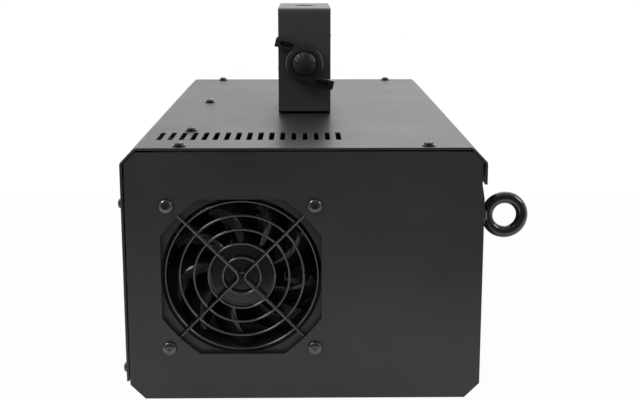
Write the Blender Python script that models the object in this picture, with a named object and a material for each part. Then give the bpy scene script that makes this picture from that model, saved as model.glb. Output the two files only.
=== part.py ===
"""Compact hanging fog machine in folded sheet metal.

Lengths are in metres. While it is built, X runs across the case from its middle, Y runs from
the face of the fan end to the far end, and Z runs up from the floor. The empty "fog_machine"
then carries the whole model so that the middle of its outline stands on the origin.
"""

import math

import bmesh
import bpy
from mathutils import Matrix, Vector

# ---- clearances ----------------------------------------------------------------------------
TOUCH = 0.0003
SHEET_FIT = 0.0004
HOLE_PLAY = 0.0003
OVERLAP = 0.0002
SEAM = 0.00002
SIDES = 16

# ---- case ----------------------------------------------------------------------------------
CASE_WIDTH = 0.176
CASE_HEIGHT = 0.126
CASE_LENGTH = 0.316
SHEET = 0.0012
BEND = 0.0008
CHAMFER = 0.0074
FOOT_HEIGHT = 0.006
COVER_SKIRT = 0.0091
COVER_LIP = 0.0181
WALL_INSET = 0.0012
LIP_INSET = 0.0024
SHOULDER = 0.007
HEM = 0.0026
WALL_TOP_DROP = 0.010
FLANGE_DEPTH = 0.018
FLANGE_LEFT_X = -0.071
FLANGE_RIGHT_X = 0.0695
FLANGE_LOW = 0.0104
FLANGE_HIGH = 0.112

# ---- vent slots in the cover and in the far end --------------------------------------------
SLOT_COUNT = 17
SLOT_PITCH = 0.0056
SLOT_WIDTH = 0.0025
SLOT_LENGTH = 0.0245
SLOT_FIRST_X = -0.0723
SLOT_NEAR_Y = 0.025
OUTLET_COUNT = 6
OUTLET_PITCH = 0.0084
OUTLET_RISE = 0.0327
OUTLET_LENGTH = 0.044

# ---- screws --------------------------------------------------------------------------------
SCREW_RADIUS = 0.0015
SCREW_HEAD_RADIUS = 0.0032
SCREW_HEAD_HEIGHT = 0.002
SCREW_LENGTH = 0.006
COVER_SCREW_X = 0.060
COVER_SCREW_Y = 0.006

# ---- fan -----------------------------------------------------------------------------------
FAN_X = -0.0306
FAN_RISE = 0.0621
FAN_EDGE = 0.00425
FAN_DEPTH = 0.025
FAN_CORNER = 0.004
FAN_SCREW_PITCH = 0.0715
FAN_SCREW_RADIUS = 0.0019
FAN_SCREW_LENGTH = 0.016
FAN_SCREW_HEAD = 0.0034
FAN_BORE_RADIUS = 0.0389
FAN_HUB_RADIUS = 0.0163
FAN_BLADE_RADIUS = 0.0366
FAN_BLADES = 9
BLADE_CHORD = 31.0
BLADE_SWEEP = 22.0
BLADE_FIRST = 3.0
BLADE_SHEET = 0.0013
BLADE_CAMBER = 0.0020
BLADE_TAPER = 0.15
BLADE_BOW = 1.3
BLADE_ROOT = 0.0012
BLADE_FRONT_INSET = 0.0034
BLADE_BACK_INSET = 0.0035
HUB_INSET = 0.0026
HUB_BEVEL = 0.001
FAN_STRUTS = 4
STRUT_DEPTH = 0.003
STRUT_WIDTH = 0.0034
STRUT_TURN = 28.0
STRUT_ROOT = 0.0008
OPENING_SIZE = 0.078
OPENING_FLAT = 0.0414
OPENING_BULGE = 0.0010
OPENING_STEPS = 4
GUARD_RINGS = 5
GUARD_FIRST_RADIUS = 0.0092
GUARD_RING_PITCH = 0.00705
GUARD_RING_WIRE = 0.0006
GUARD_SPOKE_WIRE = 0.0008
GUARD_APEX = 0.0003
GUARD_BEND = 0.0034
WELD_SINK = 0.6

# ---- hanging bracket -----------------------------------------------------------------------
YOKE_WIDTH = 0.030
YOKE_SHEET = 0.002
YOKE_NEAR_Y = 0.122
YOKE_SPAN = 0.076
YOKE_FOOT_GAP = 0.0016
YOKE_HEIGHT = 0.0589
YOKE_BEND = 0.0025
YOKE_BEND_STEPS = 3
PIVOT_HEIGHT = 0.0296
CLAMP_HOLE_RADIUS = 0.0062
EAR_SHEET = 0.002
EAR_TOP = 0.0175
LIFT = 0.0102
STUD_RADIUS = 0.003
BOLT_HEAD_RADIUS = 0.0062
BOLT_HEAD_HEIGHT = 0.005
KNOB_RADIUS = 0.0106
KNOB_DEPTH = 0.0085
KNOB_CAP_RADIUS = 0.0066
KNOB_CAP_HEIGHT = 0.003
KNOB_CAP_STEP = 0.001
KNOB_CAP_TAPER = 0.72
KNOB_BEVEL = 0.0012
WING_TIP_OUT = 0.0160
WING_TIP_UP = 0.0150
WING_TIP_WIDTH = 0.0050
WING_BEVEL = 0.0008
WING_FLARE = 0.0011
WING_DEPTH = 0.006
WING_INSET = 0.0012
WING_ROOT = 0.0003
WING_TAIL = 0.006
WING_LEAVE_TURN = 76.0
WING_MEET_TURN = 136.0

# ---- eye bolt ------------------------------------------------------------------------------
EYE_Y = 0.017
EYE_RISE = 0.0895
EYE_MAJOR = 0.0087
EYE_MINOR = 0.0029
EYE_COLLAR_RADIUS = 0.0055
EYE_COLLAR = 0.0025
EYE_SHANK_RADIUS = 0.0039
EYE_SHANK_PROUD = 0.002
EYE_SINK = 0.0005
EYE_NUT_RADIUS = 0.0072
EYE_NUT_HEIGHT = 0.0063

# ---- heater and nozzle ---------------------------------------------------------------------
HEATER_X = -0.034
HEATER_Y = 0.145
HEATER_WIDTH = 0.044
HEATER_LENGTH = 0.100
HEATER_RISE = 0.028
HEATER_BEVEL = 0.002
PORT_RADIUS = 0.004
PORT_REACH = 0.009
PORT_RISE = 0.012
PORT_SHIFT = 0.010
WOOL = 0.008
WOOL_RISE = 0.004
WOOL_END_INSET = 0.002
BRACKET_SHEET = 0.0015
CRADLE_FOOT = 0.012
CRADLE_INSET = 0.008
CRADLE_WIDTH = 0.040
NOZZLE_STEM = 0.004
NOZZLE_HEAD = 0.007
NOZZLE_WAIST = 0.0046
NOZZLE_THREAD = 0.012
NOZZLE_SHOULDER = 0.006
NOZZLE_BEVEL = 0.001
NOZZLE_REACH = 0.020
NOZZLE_CUP = 0.0042
NOZZLE_CUP_DEPTH = 0.010
NOZZLE_CONE = 0.002
NOZZLE_BORE = 0.0012
NOZZLE_COLLAR = 0.008
NOZZLE_HOLE = 0.0095
NOZZLE_PLATE = 0.046
PLATE_SHEET = 0.0015
THERMOSTAT_RADIUS = 0.008
THERMOSTAT_HEIGHT = 0.010
THERMOSTAT_FLANGE = 0.004
THERMOSTAT_NECK = 0.75
THERMOSTAT_INSET = 0.025
THERMOSTAT_ROOM = 0.001
TAB_SHEET = 0.0008
TAB_WIDTH = 0.006
TAB_HEIGHT = 0.005
TAB_SPREAD = 0.003
SHIELD_NEAR_Y = 0.050
SHIELD_LENGTH = 0.140
SHIELD_DROP = 0.090
SHIELD_X = -0.073
SHIELD_FLANGE = 0.022

# ---- pump ----------------------------------------------------------------------------------
PUMP_X = 0.036
PUMP_Y = 0.080
PUMP_RISE = 0.038
PUMP_RADIUS = 0.007
PUMP_LENGTH = 0.056
PUMP_BORE = 0.0045
PUMP_END_WALL = 0.004
PUMP_BRACKET = 0.032
SPRING_WIRE = 0.0004
SPRING_TURNS = 6
COIL_SIZE = 0.030
COIL_LENGTH = 0.036
PLUNGER_LENGTH = 0.024
BARB_RADIUS = 0.0022
BARB_LENGTH = 0.009
TUBE_RADIUS = 0.0025
COPPER_TUBE_RADIUS = 0.002
SUCTION_RISE = 0.013

# ---- tank and its door ---------------------------------------------------------------------
TANK_SIDE_GAP = 0.0066
TANK_WIDTH = 0.050
TANK_LENGTH = 0.100
TANK_HEIGHT = 0.082
TANK_WALL = 0.002
TANK_END_GAP = 0.008
TANK_CORNER = 0.006
NECK_RADIUS = 0.013
NECK_HEIGHT = 0.010
NECK_INSET = 0.022
CAP_RADIUS = 0.0165
CAP_HEIGHT = 0.013
CAP_BEVEL = 0.0012
DOOR_MARGIN = 0.003
DOOR_SILL = 0.0008
DOOR_STRIKE = 0.0012
DOOR_PLAY = 0.002
DOOR_PULL = 0.009
DOOR_PULL_HEIGHT = 0.024
HINGE_RADIUS = 0.0024
HINGE_PIN = 0.001
HINGE_LEAF = 0.012
KNUCKLES = 3
KNUCKLE_GAP = 0.0006
MAGNET_DEPTH = 0.008
MAGNET_OVER = 0.0014

# ---- rear controls -------------------------------------------------------------------------
PANEL_SHIFT = 0.00425
PANEL_RISE = 0.071
PANEL_LENGTH = 0.072
PANEL_HEIGHT = 0.042
PANEL_EDGE = 0.004
DISPLAY_LENGTH = 0.036
DISPLAY_HEIGHT = 0.016
DISPLAY_UP = 0.007
WINDOW_SHEET = 0.0018
WINDOW_RIM = 0.002
BUTTON_COUNT = 4
BUTTON_PITCH = 0.014
BUTTON_RADIUS = 0.0036
BUTTON_DROP = 0.011
BUTTON_PROUD = 0.0014
BUTTON_TRAVEL = 0.001
BUTTON_PLAY = 0.00045
BUTTON_STEM = 0.0015
BUTTON_COLLAR = 0.0015
BUTTON_LIP = 0.001
BUTTON_BEVEL = 0.0006
BOARD_DEPTH = 0.012
BOARD_SHEET = 0.0016
TACT_HEIGHT = 0.0025
TACT_SIZE = 0.006
POST_INSET = 0.0024
POST_RADIUS = 0.0018
SWITCH_GAP = 0.0125
SWITCH_RISE = 0.026
SWITCH_LENGTH = 0.019
SWITCH_HEIGHT = 0.025
SWITCH_DEPTH = 0.016
SWITCH_RIM_SIDE = 0.002
SWITCH_RIM_END = 0.0015
SWITCH_WALL = 0.0014
ROCKER_REACH = 0.0086
ROCKER_RISE = 0.0026
ROCKER_SINK = 0.0006
ROCKER_DIP = 0.0005
ROCKER_EDGE = 0.0025
ROCKER_DEPTH = 0.0060
ROCKER_FOOT = 0.0030
ROCKER_PLAY = 0.0007
ROCKER_POCKET = 0.0080
ROCKER_TILT = 12.0
INLET_RISE = 0.026
INLET_LENGTH = 0.056
INLET_HEIGHT = 0.028
INLET_DEPTH = 0.024
INLET_RIM = 0.003
SOCKET_LENGTH = 0.024
SOCKET_HEIGHT = 0.016
SOCKET_BEVEL = 0.005
SOCKET_FLOOR = 0.004
SOCKET_INSET = 0.005
MAINS_PIN_LENGTH = 0.0152
MAINS_PIN_SHEET = 0.002
MAINS_PIN_WIDTH = 0.004
MAINS_PIN_PITCH = 0.007
MAINS_PIN_DROP = 0.0015
MAINS_EARTH_RISE = 0.0025
DRAWER_INSET = 0.006
DRAWER_SIZE = 0.013
DRAWER_DEPTH = 0.016
DRAWER_PROUD = 0.0012
BEZEL_SHEET = 0.0018
SIGNAL_GAP = 0.005
SIGNAL_PITCH = 0.032
SIGNAL_RISE = 0.071
SIGNAL_LENGTH = 0.026
SIGNAL_HEIGHT = 0.031
SIGNAL_BORE = 0.0092
SIGNAL_SHELL = 0.0023
SIGNAL_DEPTH = 0.014
SIGNAL_FLOOR = 0.003
SIGNAL_PIN_CIRCLE = 0.0048
SIGNAL_PIN_RADIUS = 0.0012
PIN_RECESS = 0.006
LEVEL_RISE = 0.046
LEVEL_LENGTH = 0.008
LEVEL_HEIGHT = 0.062
LEVEL_RIM = 0.003
LEVEL_SHEET = 0.0015
LEVEL_PROUD = 0.0008

# ---- feet ----------------------------------------------------------------------------------
FOOT_RADIUS = 0.008
FOOT_X = 0.062
FOOT_INSET_Y = 0.035
FOOT_DISH = 0.001

# ---- planes worked out from the sizes above ------------------------------------------------
BASE = FOOT_HEIGHT
ROOF = BASE + CASE_HEIGHT
FLOOR = BASE + SHEET
CEILING = ROOF - SHEET
HALF = CASE_WIDTH / 2
LEFT_WALL = -HALF + SHEET + SHEET_FIT
REAR_WALL = HALF - WALL_INSET
REAR_INSIDE = REAR_WALL - SHEET
UNDER_LIP = HALF - LIP_INSET
LIP_END = ROOF - COVER_LIP
FLANGE_TOP = CEILING - SHEET_FIT
FAN_Z = BASE + FAN_RISE
FAN_SIZE = FAN_SCREW_PITCH + 2 * FAN_EDGE
FAN_FRONT = SHEET + 2 * TOUCH + 2 * GUARD_SPOKE_WIRE
YOKE_X = FAN_X + 0.0309
YOKE_FAR_Y = YOKE_NEAR_Y + YOKE_SPAN
YOKE_MID_Y = YOKE_NEAR_Y + YOKE_SPAN / 2
YOKE_FOOT = ROOF + YOKE_FOOT_GAP
YOKE_TOP = YOKE_FOOT + YOKE_HEIGHT
PIVOT_Z = ROOF + PIVOT_HEIGHT
EAR_OUT = YOKE_SPAN / 2 - YOKE_SHEET - TOUCH
EYE_X = REAR_WALL + TOUCH + EYE_COLLAR / 2 + EYE_MAJOR + EYE_MINOR - EYE_SINK
EYE_Z = BASE + EYE_RISE
HEATER_Z = FLOOR + HEATER_RISE
NOZZLE_Z = HEATER_Z + HEATER_WIDTH / 2
NOZZLE_TIP = -HALF - NOZZLE_REACH
PUMP_Z = FLOOR + PUMP_RISE
PANEL_BACK = REAR_WALL + TOUCH
PANEL_FACE = PANEL_BACK + PLATE_SHEET
BEZEL_FACE = PANEL_BACK + BEZEL_SHEET
PANEL_Z = BASE + PANEL_RISE
DISPLAY_Z = PANEL_Z + DISPLAY_UP
SWITCH_Z = BASE + SWITCH_RISE
SWITCH_HOLE_LENGTH = SWITCH_LENGTH - 2 * SWITCH_RIM_SIDE
SWITCH_HOLE_HEIGHT = SWITCH_HEIGHT - 2 * SWITCH_RIM_END
INLET_Z = BASE + INLET_RISE
INLET_HOLE_LENGTH = INLET_LENGTH - 2 * INLET_RIM
INLET_HOLE_HEIGHT = INLET_HEIGHT - 2 * INLET_RIM
SIGNAL_SHELL_RADIUS = SIGNAL_BORE + SIGNAL_SHELL
SIGNAL_Z = BASE + SIGNAL_RISE
LEVEL_Z = BASE + LEVEL_RISE
TANK_X = REAR_INSIDE - TANK_SIDE_GAP - TANK_WIDTH / 2
TANK_FAR = CASE_LENGTH - TANK_END_GAP
TANK_NEAR = TANK_FAR - TANK_LENGTH
LEVEL_Y = TANK_NEAR + TANK_LENGTH / 2
SIGNAL_OUT_Y = TANK_NEAR - SIGNAL_GAP - SIGNAL_LENGTH / 2
SIGNAL_IN_Y = SIGNAL_OUT_Y - SIGNAL_PITCH
SIGNAL_Y = (SIGNAL_IN_Y, SIGNAL_OUT_Y)
PANEL_Y = (EYE_Y + EYE_COLLAR_RADIUS + SIGNAL_IN_Y - SIGNAL_LENGTH / 2) / 2 + PANEL_SHIFT
INLET_Y = PANEL_Y
SOCKET_Y = INLET_Y - INLET_LENGTH / 2 + SOCKET_INSET + SOCKET_LENGTH / 2
DRAWER_Y = INLET_Y + INLET_LENGTH / 2 - DRAWER_INSET - DRAWER_SIZE / 2
SWITCH_Y = INLET_Y + INLET_LENGTH / 2 + SWITCH_GAP + SWITCH_LENGTH / 2
TANK_FOOT = FLOOR + TOUCH
TANK_TOP = TANK_FOOT + TANK_HEIGHT
NECK_Y = TANK_FAR - NECK_INSET
CAP_FOOT = TANK_TOP + TOUCH
CAP_TOP = CAP_FOOT + CAP_HEIGHT
HATCH_LOW = FLOOR + DOOR_PLAY
HATCH_HIGH = CAP_TOP + DOOR_PLAY
HATCH_LEFT = TANK_X - TANK_WIDTH / 2 - DOOR_PLAY
HATCH_RIGHT = TANK_X + TANK_WIDTH / 2 + DOOR_PLAY
DOOR_LEFT = HATCH_LEFT - DOOR_MARGIN
HINGE_X = DOOR_LEFT - HINGE_RADIUS - TOUCH
HINGE_Y = CASE_LENGTH + TOUCH + HINGE_RADIUS
DOOR_OUT = CASE_LENGTH + TOUCH + SHEET
FRONT_MOST = -TOUCH - SCREW_HEAD_HEIGHT
BACK_MOST = DOOR_OUT + DOOR_PULL
RIGHT_MOST = EYE_X + EYE_MAJOR + EYE_MINOR
ORIGIN = Vector(((NOZZLE_TIP + RIGHT_MOST) / 2, (FRONT_MOST + BACK_MOST) / 2, 0))


# ---- modelling helpers ---------------------------------------------------------------------
def facing(axis):
    """Rotation that lays the Z axis of a shape along the named axis."""
    if axis == "X":
        return Matrix(((0, 0, 1, 0), (1, 0, 0, 0), (0, 1, 0, 0), (0, 0, 0, 1)))
    if axis == "Y":
        return Matrix(((1, 0, 0, 0), (0, 0, 1, 0), (0, -1, 0, 0), (0, 0, 0, 1)))
    return Matrix.Identity(4)


def box(low, high):
    """Block between two opposite corners."""
    mesh = bmesh.new()
    bmesh.ops.create_cube(mesh, size=1)
    size = Vector(high) - Vector(low)
    middle = (Vector(high) + Vector(low)) / 2
    bmesh.ops.scale(mesh, vec=size, verts=mesh.verts)
    bmesh.ops.translate(mesh, vec=middle, verts=mesh.verts)
    return mesh


def block(centre, size):
    """Block given by its centre and its three sizes."""
    half = Vector(size) / 2
    return box(Vector(centre) - half, Vector(centre) + half)


def rod(axis, centre, radius, start, end, sides=SIDES):
    """Round bar along an axis, from start to end; centre gives the two other coordinates."""
    mesh = bmesh.new()
    bmesh.ops.create_cone(mesh, cap_ends=True, segments=sides, radius1=radius, radius2=radius,
                          depth=end - start)
    bmesh.ops.rotate(mesh, cent=(0, 0, 0), matrix=facing(axis).to_3x3(), verts=mesh.verts)
    place = {"X": ((start + end) / 2, centre[0], centre[1]),
             "Y": (centre[0], (start + end) / 2, centre[1]),
             "Z": (centre[0], centre[1], (start + end) / 2)}[axis]
    bmesh.ops.translate(mesh, vec=place, verts=mesh.verts)
    return closed(mesh)


def turned(axis, centre, profile, sides=SIDES):
    """Solid of revolution: profile points are (distance along the axis, radius)."""
    mesh = bmesh.new()
    points = [mesh.verts.new((radius, 0, along)) for along, radius in profile]
    loop = profile[0][1] > 0
    edges = [mesh.edges.new(pair) for pair in zip(points, points[1:])]
    if loop:
        edges.append(mesh.edges.new((points[-1], points[0])))
    bmesh.ops.spin(mesh, geom=points + edges, cent=(0, 0, 0), axis=(0, 0, 1),
                   angle=math.tau, steps=sides, use_merge=True)
    bmesh.ops.remove_doubles(mesh, verts=mesh.verts, dist=0.000005)
    bmesh.ops.rotate(mesh, cent=(0, 0, 0), matrix=facing(axis).to_3x3(), verts=mesh.verts)
    place = {"X": (0, centre[0], centre[1]), "Y": (centre[0], 0, centre[1]),
             "Z": (centre[0], centre[1], 0)}[axis]
    bmesh.ops.translate(mesh, vec=place, verts=mesh.verts)
    return closed(mesh)


def extruded(axis, outline, start, end):
    """Prism: outline points are the two coordinates across the axis, in X, Y, Z order."""
    mesh = bmesh.new()
    place = {"X": lambda a, b: (start, a, b), "Y": lambda a, b: (a, start, b),
             "Z": lambda a, b: (a, b, start)}[axis]
    face = mesh.faces.new([mesh.verts.new(place(a, b)) for a, b in outline])
    grown = bmesh.ops.extrude_face_region(mesh, geom=[face])
    moved = [item for item in grown["geom"] if isinstance(item, bmesh.types.BMVert)]
    shift = {"X": (end - start, 0, 0), "Y": (0, end - start, 0), "Z": (0, 0, end - start)}[axis]
    bmesh.ops.translate(mesh, vec=shift, verts=moved)
    return closed(mesh)


def torus(axis, centre, major, minor, sides, wire_sides):
    """Ring whose hole runs along an axis; centre is a full point."""
    mesh = bmesh.new()
    circle = bmesh.ops.create_circle(mesh, segments=wire_sides, radius=minor)["verts"]
    bmesh.ops.rotate(mesh, cent=(0, 0, 0), matrix=Matrix.Rotation(math.pi / 2, 3, "X"), verts=circle)
    bmesh.ops.translate(mesh, vec=(major, 0, 0), verts=circle)
    bmesh.ops.spin(mesh, geom=list(mesh.verts) + list(mesh.edges), cent=(0, 0, 0), axis=(0, 0, 1),
                   angle=math.tau, steps=sides, use_merge=True)
    bmesh.ops.rotate(mesh, cent=(0, 0, 0), matrix=facing(axis).to_3x3(), verts=mesh.verts)
    bmesh.ops.translate(mesh, vec=centre, verts=mesh.verts)
    return closed(mesh)


def tube(points, radius, sides=8):
    """Round wire with flat ends along a list of points."""
    mesh = bmesh.new()
    rings = []
    points = [Vector(point) for point in points]
    side = None
    for index, point in enumerate(points):
        before = points[max(index - 1, 0)]
        after = points[min(index + 1, len(points) - 1)]
        along = (after - before).normalized()
        if side is None:
            side = along.orthogonal().normalized()
        side = (side - side.dot(along) * along).normalized()
        across = along.cross(side)
        ring = []
        for step in range(sides):
            turn = math.tau * step / sides
            ring.append(mesh.verts.new(point + radius * (math.cos(turn) * side + math.sin(turn) * across)))
        rings.append(ring)
    for first, second in zip(rings, rings[1:]):
        for step in range(sides):
            after = (step + 1) % sides
            mesh.faces.new((first[step], first[after], second[after], second[step]))
    mesh.faces.new(rings[0])
    mesh.faces.new(rings[-1])
    return closed(mesh)


def closed(mesh):
    """Turn every face of a closed shape outwards."""
    bmesh.ops.recalc_face_normals(mesh, faces=mesh.faces)
    return mesh


def together(meshes):
    """Several separate shapes as one mesh."""
    joined = bmesh.new()
    for mesh in meshes:
        copy = bpy.data.meshes.new("shape")
        mesh.to_mesh(copy)
        mesh.free()
        joined.from_mesh(copy)
        bpy.data.meshes.remove(copy)
    return joined


def offset_path(points, distance):
    """Path beside an open path, on its left when distance is positive, with sharp corners."""
    result = []
    for index, point in enumerate(points):
        here = Vector(point)
        normals = []
        if index > 0:
            run = (here - Vector(points[index - 1])).normalized()
            normals.append(Vector((-run.y, run.x)))
        if index < len(points) - 1:
            run = (Vector(points[index + 1]) - here).normalized()
            normals.append(Vector((-run.y, run.x)))
        total = sum(normals, Vector((0, 0)))
        scale = len(normals) / total.dot(total) if len(normals) > 1 else 1
        result.append(tuple(here + total * distance * scale))
    return result


def rounded(points, radius, steps=4):
    """Open path with each inner corner replaced by an arc."""
    result = [points[0]]
    for before, corner, after in zip(points, points[1:], points[2:]):
        here = Vector(corner)
        into = (Vector(before) - here).normalized()
        out = (Vector(after) - here).normalized()
        half_angle = into.angle(out) / 2
        reach = radius / math.tan(half_angle)
        centre = here + (into + out).normalized() * radius / math.sin(half_angle)
        start = here + into * reach - centre
        finish = here + out * reach - centre
        for step in range(steps + 1):
            share = step / steps
            spoke = start.lerp(finish, share).normalized() * radius
            result.append(tuple(centre + spoke))
    result.append(points[-1])
    return result


def folded(axis, path, thickness, bend, start, end, steps=4):
    """Folded sheet: path is the outer face, and the thickness lies on its left."""
    outer = rounded(path, bend + abs(thickness), steps)
    inner = rounded(offset_path(path, thickness), bend, steps)
    return extruded(axis, outer + inner[::-1], start, end)


def paint(name, color, roughness, metallic):
    """Principled material."""
    material = bpy.data.materials.new(name)
    material.use_nodes = True
    shader = material.node_tree.nodes["Principled BSDF"]
    shader.inputs["Base Color"].default_value = (*color, 1)
    shader.inputs["Roughness"].default_value = roughness
    shader.inputs["Metallic"].default_value = metallic
    return material


def add_object(name, mesh, parent, origin):
    """Object whose mesh is given in case coordinates and whose origin is the given point."""
    bmesh.ops.translate(mesh, vec=-Vector(origin), verts=mesh.verts)
    data = bpy.data.meshes.new(name)
    mesh.to_mesh(data)
    mesh.free()
    item = bpy.data.objects.new(name, data)
    bpy.context.collection.objects.link(item)
    base = Vector(parent["case_point"]) if "case_point" in parent else Vector((0, 0, 0))
    item.parent = parent
    item.location = Vector(origin) - base
    return item


def piece(name, mesh, material, parent=None, origin=(0, 0, 0), smooth=False):
    """One sub-part of the machine."""
    item = add_object(name, mesh, parent or MACHINE, origin)
    item.data.materials.append(material)
    if smooth:
        item.data.shade_smooth()
        item.data.set_sharp_from_angle(angle=math.radians(40))
    return item


def boolean(item, mesh, operation):
    """Add a Boolean modifier whose second shape is a hidden guide."""
    guide = add_object(item.name + "_" + operation.lower(), mesh, MACHINE, (0, 0, 0))
    guide.hide_render = True
    guide.display_type = "WIRE"
    change = item.modifiers.new(operation.title(), "BOOLEAN")
    change.operation = operation
    change.object = guide
    change.solver = "EXACT"
    return item


def cut(item, meshes):
    return boolean(item, together(meshes), "DIFFERENCE")


def join(item, meshes):
    return boolean(item, together(meshes), "UNION")


def axis_empty(name, point, parent=None):
    """Empty on a joint's axis, which carries the pieces that move with it."""
    holder = bpy.data.objects.new(name, None)
    bpy.context.collection.objects.link(holder)
    base_item = parent or MACHINE
    base = Vector(base_item["case_point"]) if "case_point" in base_item else Vector((0, 0, 0))
    holder.parent = base_item
    holder.location = Vector(point) - base
    holder["case_point"] = tuple(point)
    return holder


def screw(axis, centre, face, outwards, radius=SCREW_RADIUS, head_radius=SCREW_HEAD_RADIUS,
          head=SCREW_HEAD_HEIGHT, length=SCREW_LENGTH):
    """Pan-head screw: its head stands outwards of the face and its shank goes in."""
    seat = face + outwards * TOUCH
    profile = [(seat + outwards * head, 0), (seat + outwards * head, head_radius * 0.7),
               (seat + outwards * head * 0.45, head_radius), (seat, head_radius), (seat, radius),
               (seat - outwards * length, radius), (seat - outwards * length, 0)]
    return turned(axis, centre, profile, 12)


def screw_hole(axis, centre, start, end, radius=SCREW_RADIUS):
    return rod(axis, centre, radius + HOLE_PLAY, start, end, 12)


# ---- case shells ---------------------------------------------------------------------------
def cover_path():
    """Outer face of the cover, from the edge of the left wall over the roof to the lip."""
    return [(-HALF, BASE + COVER_SKIRT), (-HALF, ROOF - CHAMFER), (-HALF + CHAMFER, ROOF),
            (HALF - CHAMFER, ROOF), (HALF, ROOF - CHAMFER), (HALF, LIP_END)]


def chassis_path():
    """Outer face of the tray, from its low left edge under the floor and up the control side."""
    return [(LEFT_WALL, BASE + CHAMFER + HEM), (LEFT_WALL, BASE + CHAMFER),
            (LEFT_WALL + CHAMFER, BASE), (REAR_WALL - CHAMFER, BASE), (REAR_WALL, BASE + CHAMFER),
            (REAR_WALL, LIP_END - SHOULDER), (UNDER_LIP, LIP_END), (UNDER_LIP, ROOF - WALL_TOP_DROP)]


def end_outline():
    """Edge of an end panel: it covers the chassis and sits inside the cover."""
    inner = offset_path(cover_path(), -(SHEET + SHEET_FIT))
    corner_drop = inner[4][0] - UNDER_LIP
    lower = chassis_path()[1:6]
    return lower + [(UNDER_LIP, LIP_END), (UNDER_LIP, inner[4][1] + corner_drop),
                    inner[3], inner[2], inner[1]]


def cover_screw_places():
    near = COVER_SCREW_Y
    far = CASE_LENGTH - COVER_SCREW_Y
    return [(side * COVER_SCREW_X, y) for side in (-1, 1) for y in (near, far)]


def foot_places():
    return [(side * FOOT_X, y) for side in (-1, 1)
            for y in (FOOT_INSET_Y, CASE_LENGTH - FOOT_INSET_Y)]


def build_cover():
    shell = folded("Y", cover_path(), -SHEET, BEND, 0, CASE_LENGTH)
    cover = piece("top_cover", shell, BLACK_POWDER_COAT)
    low = CEILING - SHEET
    high = ROOF + SHEET
    cutters = []
    for index in range(SLOT_COUNT):
        x = SLOT_FIRST_X + index * SLOT_PITCH
        cutters.append(box((x - SLOT_WIDTH / 2, SLOT_NEAR_Y, low),
                           (x + SLOT_WIDTH / 2, SLOT_NEAR_Y + SLOT_LENGTH, high)))
    for place in cover_screw_places():
        cutters.append(screw_hole("Z", place, low, high))
    cutters.append(rod("X", (HEATER_Y, NOZZLE_Z), NOZZLE_HOLE, -HALF - SHEET, -HALF + 2 * SHEET))
    cut(cover, cutters)


def build_chassis():
    tray = folded("Y", chassis_path(), SHEET, BEND, SHEET + TOUCH, CASE_LENGTH - SHEET - TOUCH)
    chassis = piece("chassis", tray, BLACK_POWDER_COAT)
    inside = REAR_WALL - 2 * SHEET
    outside = REAR_WALL + SHEET
    cutters = [rod("X", (EYE_Y, EYE_Z), EYE_SHANK_RADIUS + HOLE_PLAY, inside, outside)]
    windows = [(PANEL_Y, PANEL_Z, PANEL_LENGTH - 2 * PANEL_EDGE, PANEL_HEIGHT - 2 * PANEL_EDGE),
               (SWITCH_Y, SWITCH_Z, SWITCH_HOLE_LENGTH, SWITCH_HOLE_HEIGHT),
               (INLET_Y, INLET_Z, INLET_HOLE_LENGTH, INLET_HOLE_HEIGHT),
               (LEVEL_Y, LEVEL_Z, LEVEL_LENGTH, LEVEL_HEIGHT)]
    for y, z, length, height in windows:
        middle = ((inside + outside) / 2, y, z)
        cutters.append(block(middle, (outside - inside, length, height)))
    for y in SIGNAL_Y:
        cutters.append(rod("X", (y, SIGNAL_Z), SIGNAL_SHELL_RADIUS + TOUCH, inside, outside, 20))
    cut(chassis, cutters)


def end_panel(name, front):
    """Flat end with a flange under the roof and one behind the left wall."""
    sign = 1 if front else -1
    face = 0 if front else CASE_LENGTH
    inner = face + sign * SHEET
    plate = extruded("Y", end_outline(), min(face, inner), max(face, inner))
    panel = piece(name, plate, BLACK_POWDER_COAT)
    root = face + sign * SHEET * 0.5
    tip = face + sign * FLANGE_DEPTH
    low = min(root, tip)
    high = max(root, tip)
    roof_flange = box((FLANGE_LEFT_X, low, FLANGE_TOP - SHEET), (FLANGE_RIGHT_X, high, FLANGE_TOP - SEAM))
    side_flange = box((LEFT_WALL + SEAM, low, BASE + FLANGE_LOW),
                      (LEFT_WALL + SHEET, high, BASE + FLANGE_HIGH))
    join(panel, [roof_flange, side_flange])
    cutters = []
    screw_y = COVER_SCREW_Y if front else CASE_LENGTH - COVER_SCREW_Y
    for x in (-COVER_SCREW_X, COVER_SCREW_X):
        cutters.append(screw_hole("Z", (x, screw_y), FLANGE_TOP - 2 * SHEET, FLANGE_TOP + SHEET))
    return panel, cutters


def fan_opening():
    """Square opening whose corners are cut off by shallow arcs."""
    flat = OPENING_FLAT / 2
    half = OPENING_SIZE / 2
    points = []
    for quarter in range(4):
        turn = Matrix.Rotation(math.pi / 2 * quarter, 2)
        start = Vector((half, flat))
        finish = Vector((flat, half))
        for step in range(OPENING_STEPS + 1):
            share = step / OPENING_STEPS
            point = start.lerp(finish, share)
            point += Vector((1, 1)).normalized() * OPENING_BULGE * 4 * share * (1 - share)
            point = turn @ point
            points.append((FAN_X + point.x, FAN_Z + point.y))
    return points


def fan_screw_places():
    half = FAN_SCREW_PITCH / 2
    return [(FAN_X + x * half, FAN_Z + z * half) for x in (-1, 1) for z in (-1, 1)]


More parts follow.
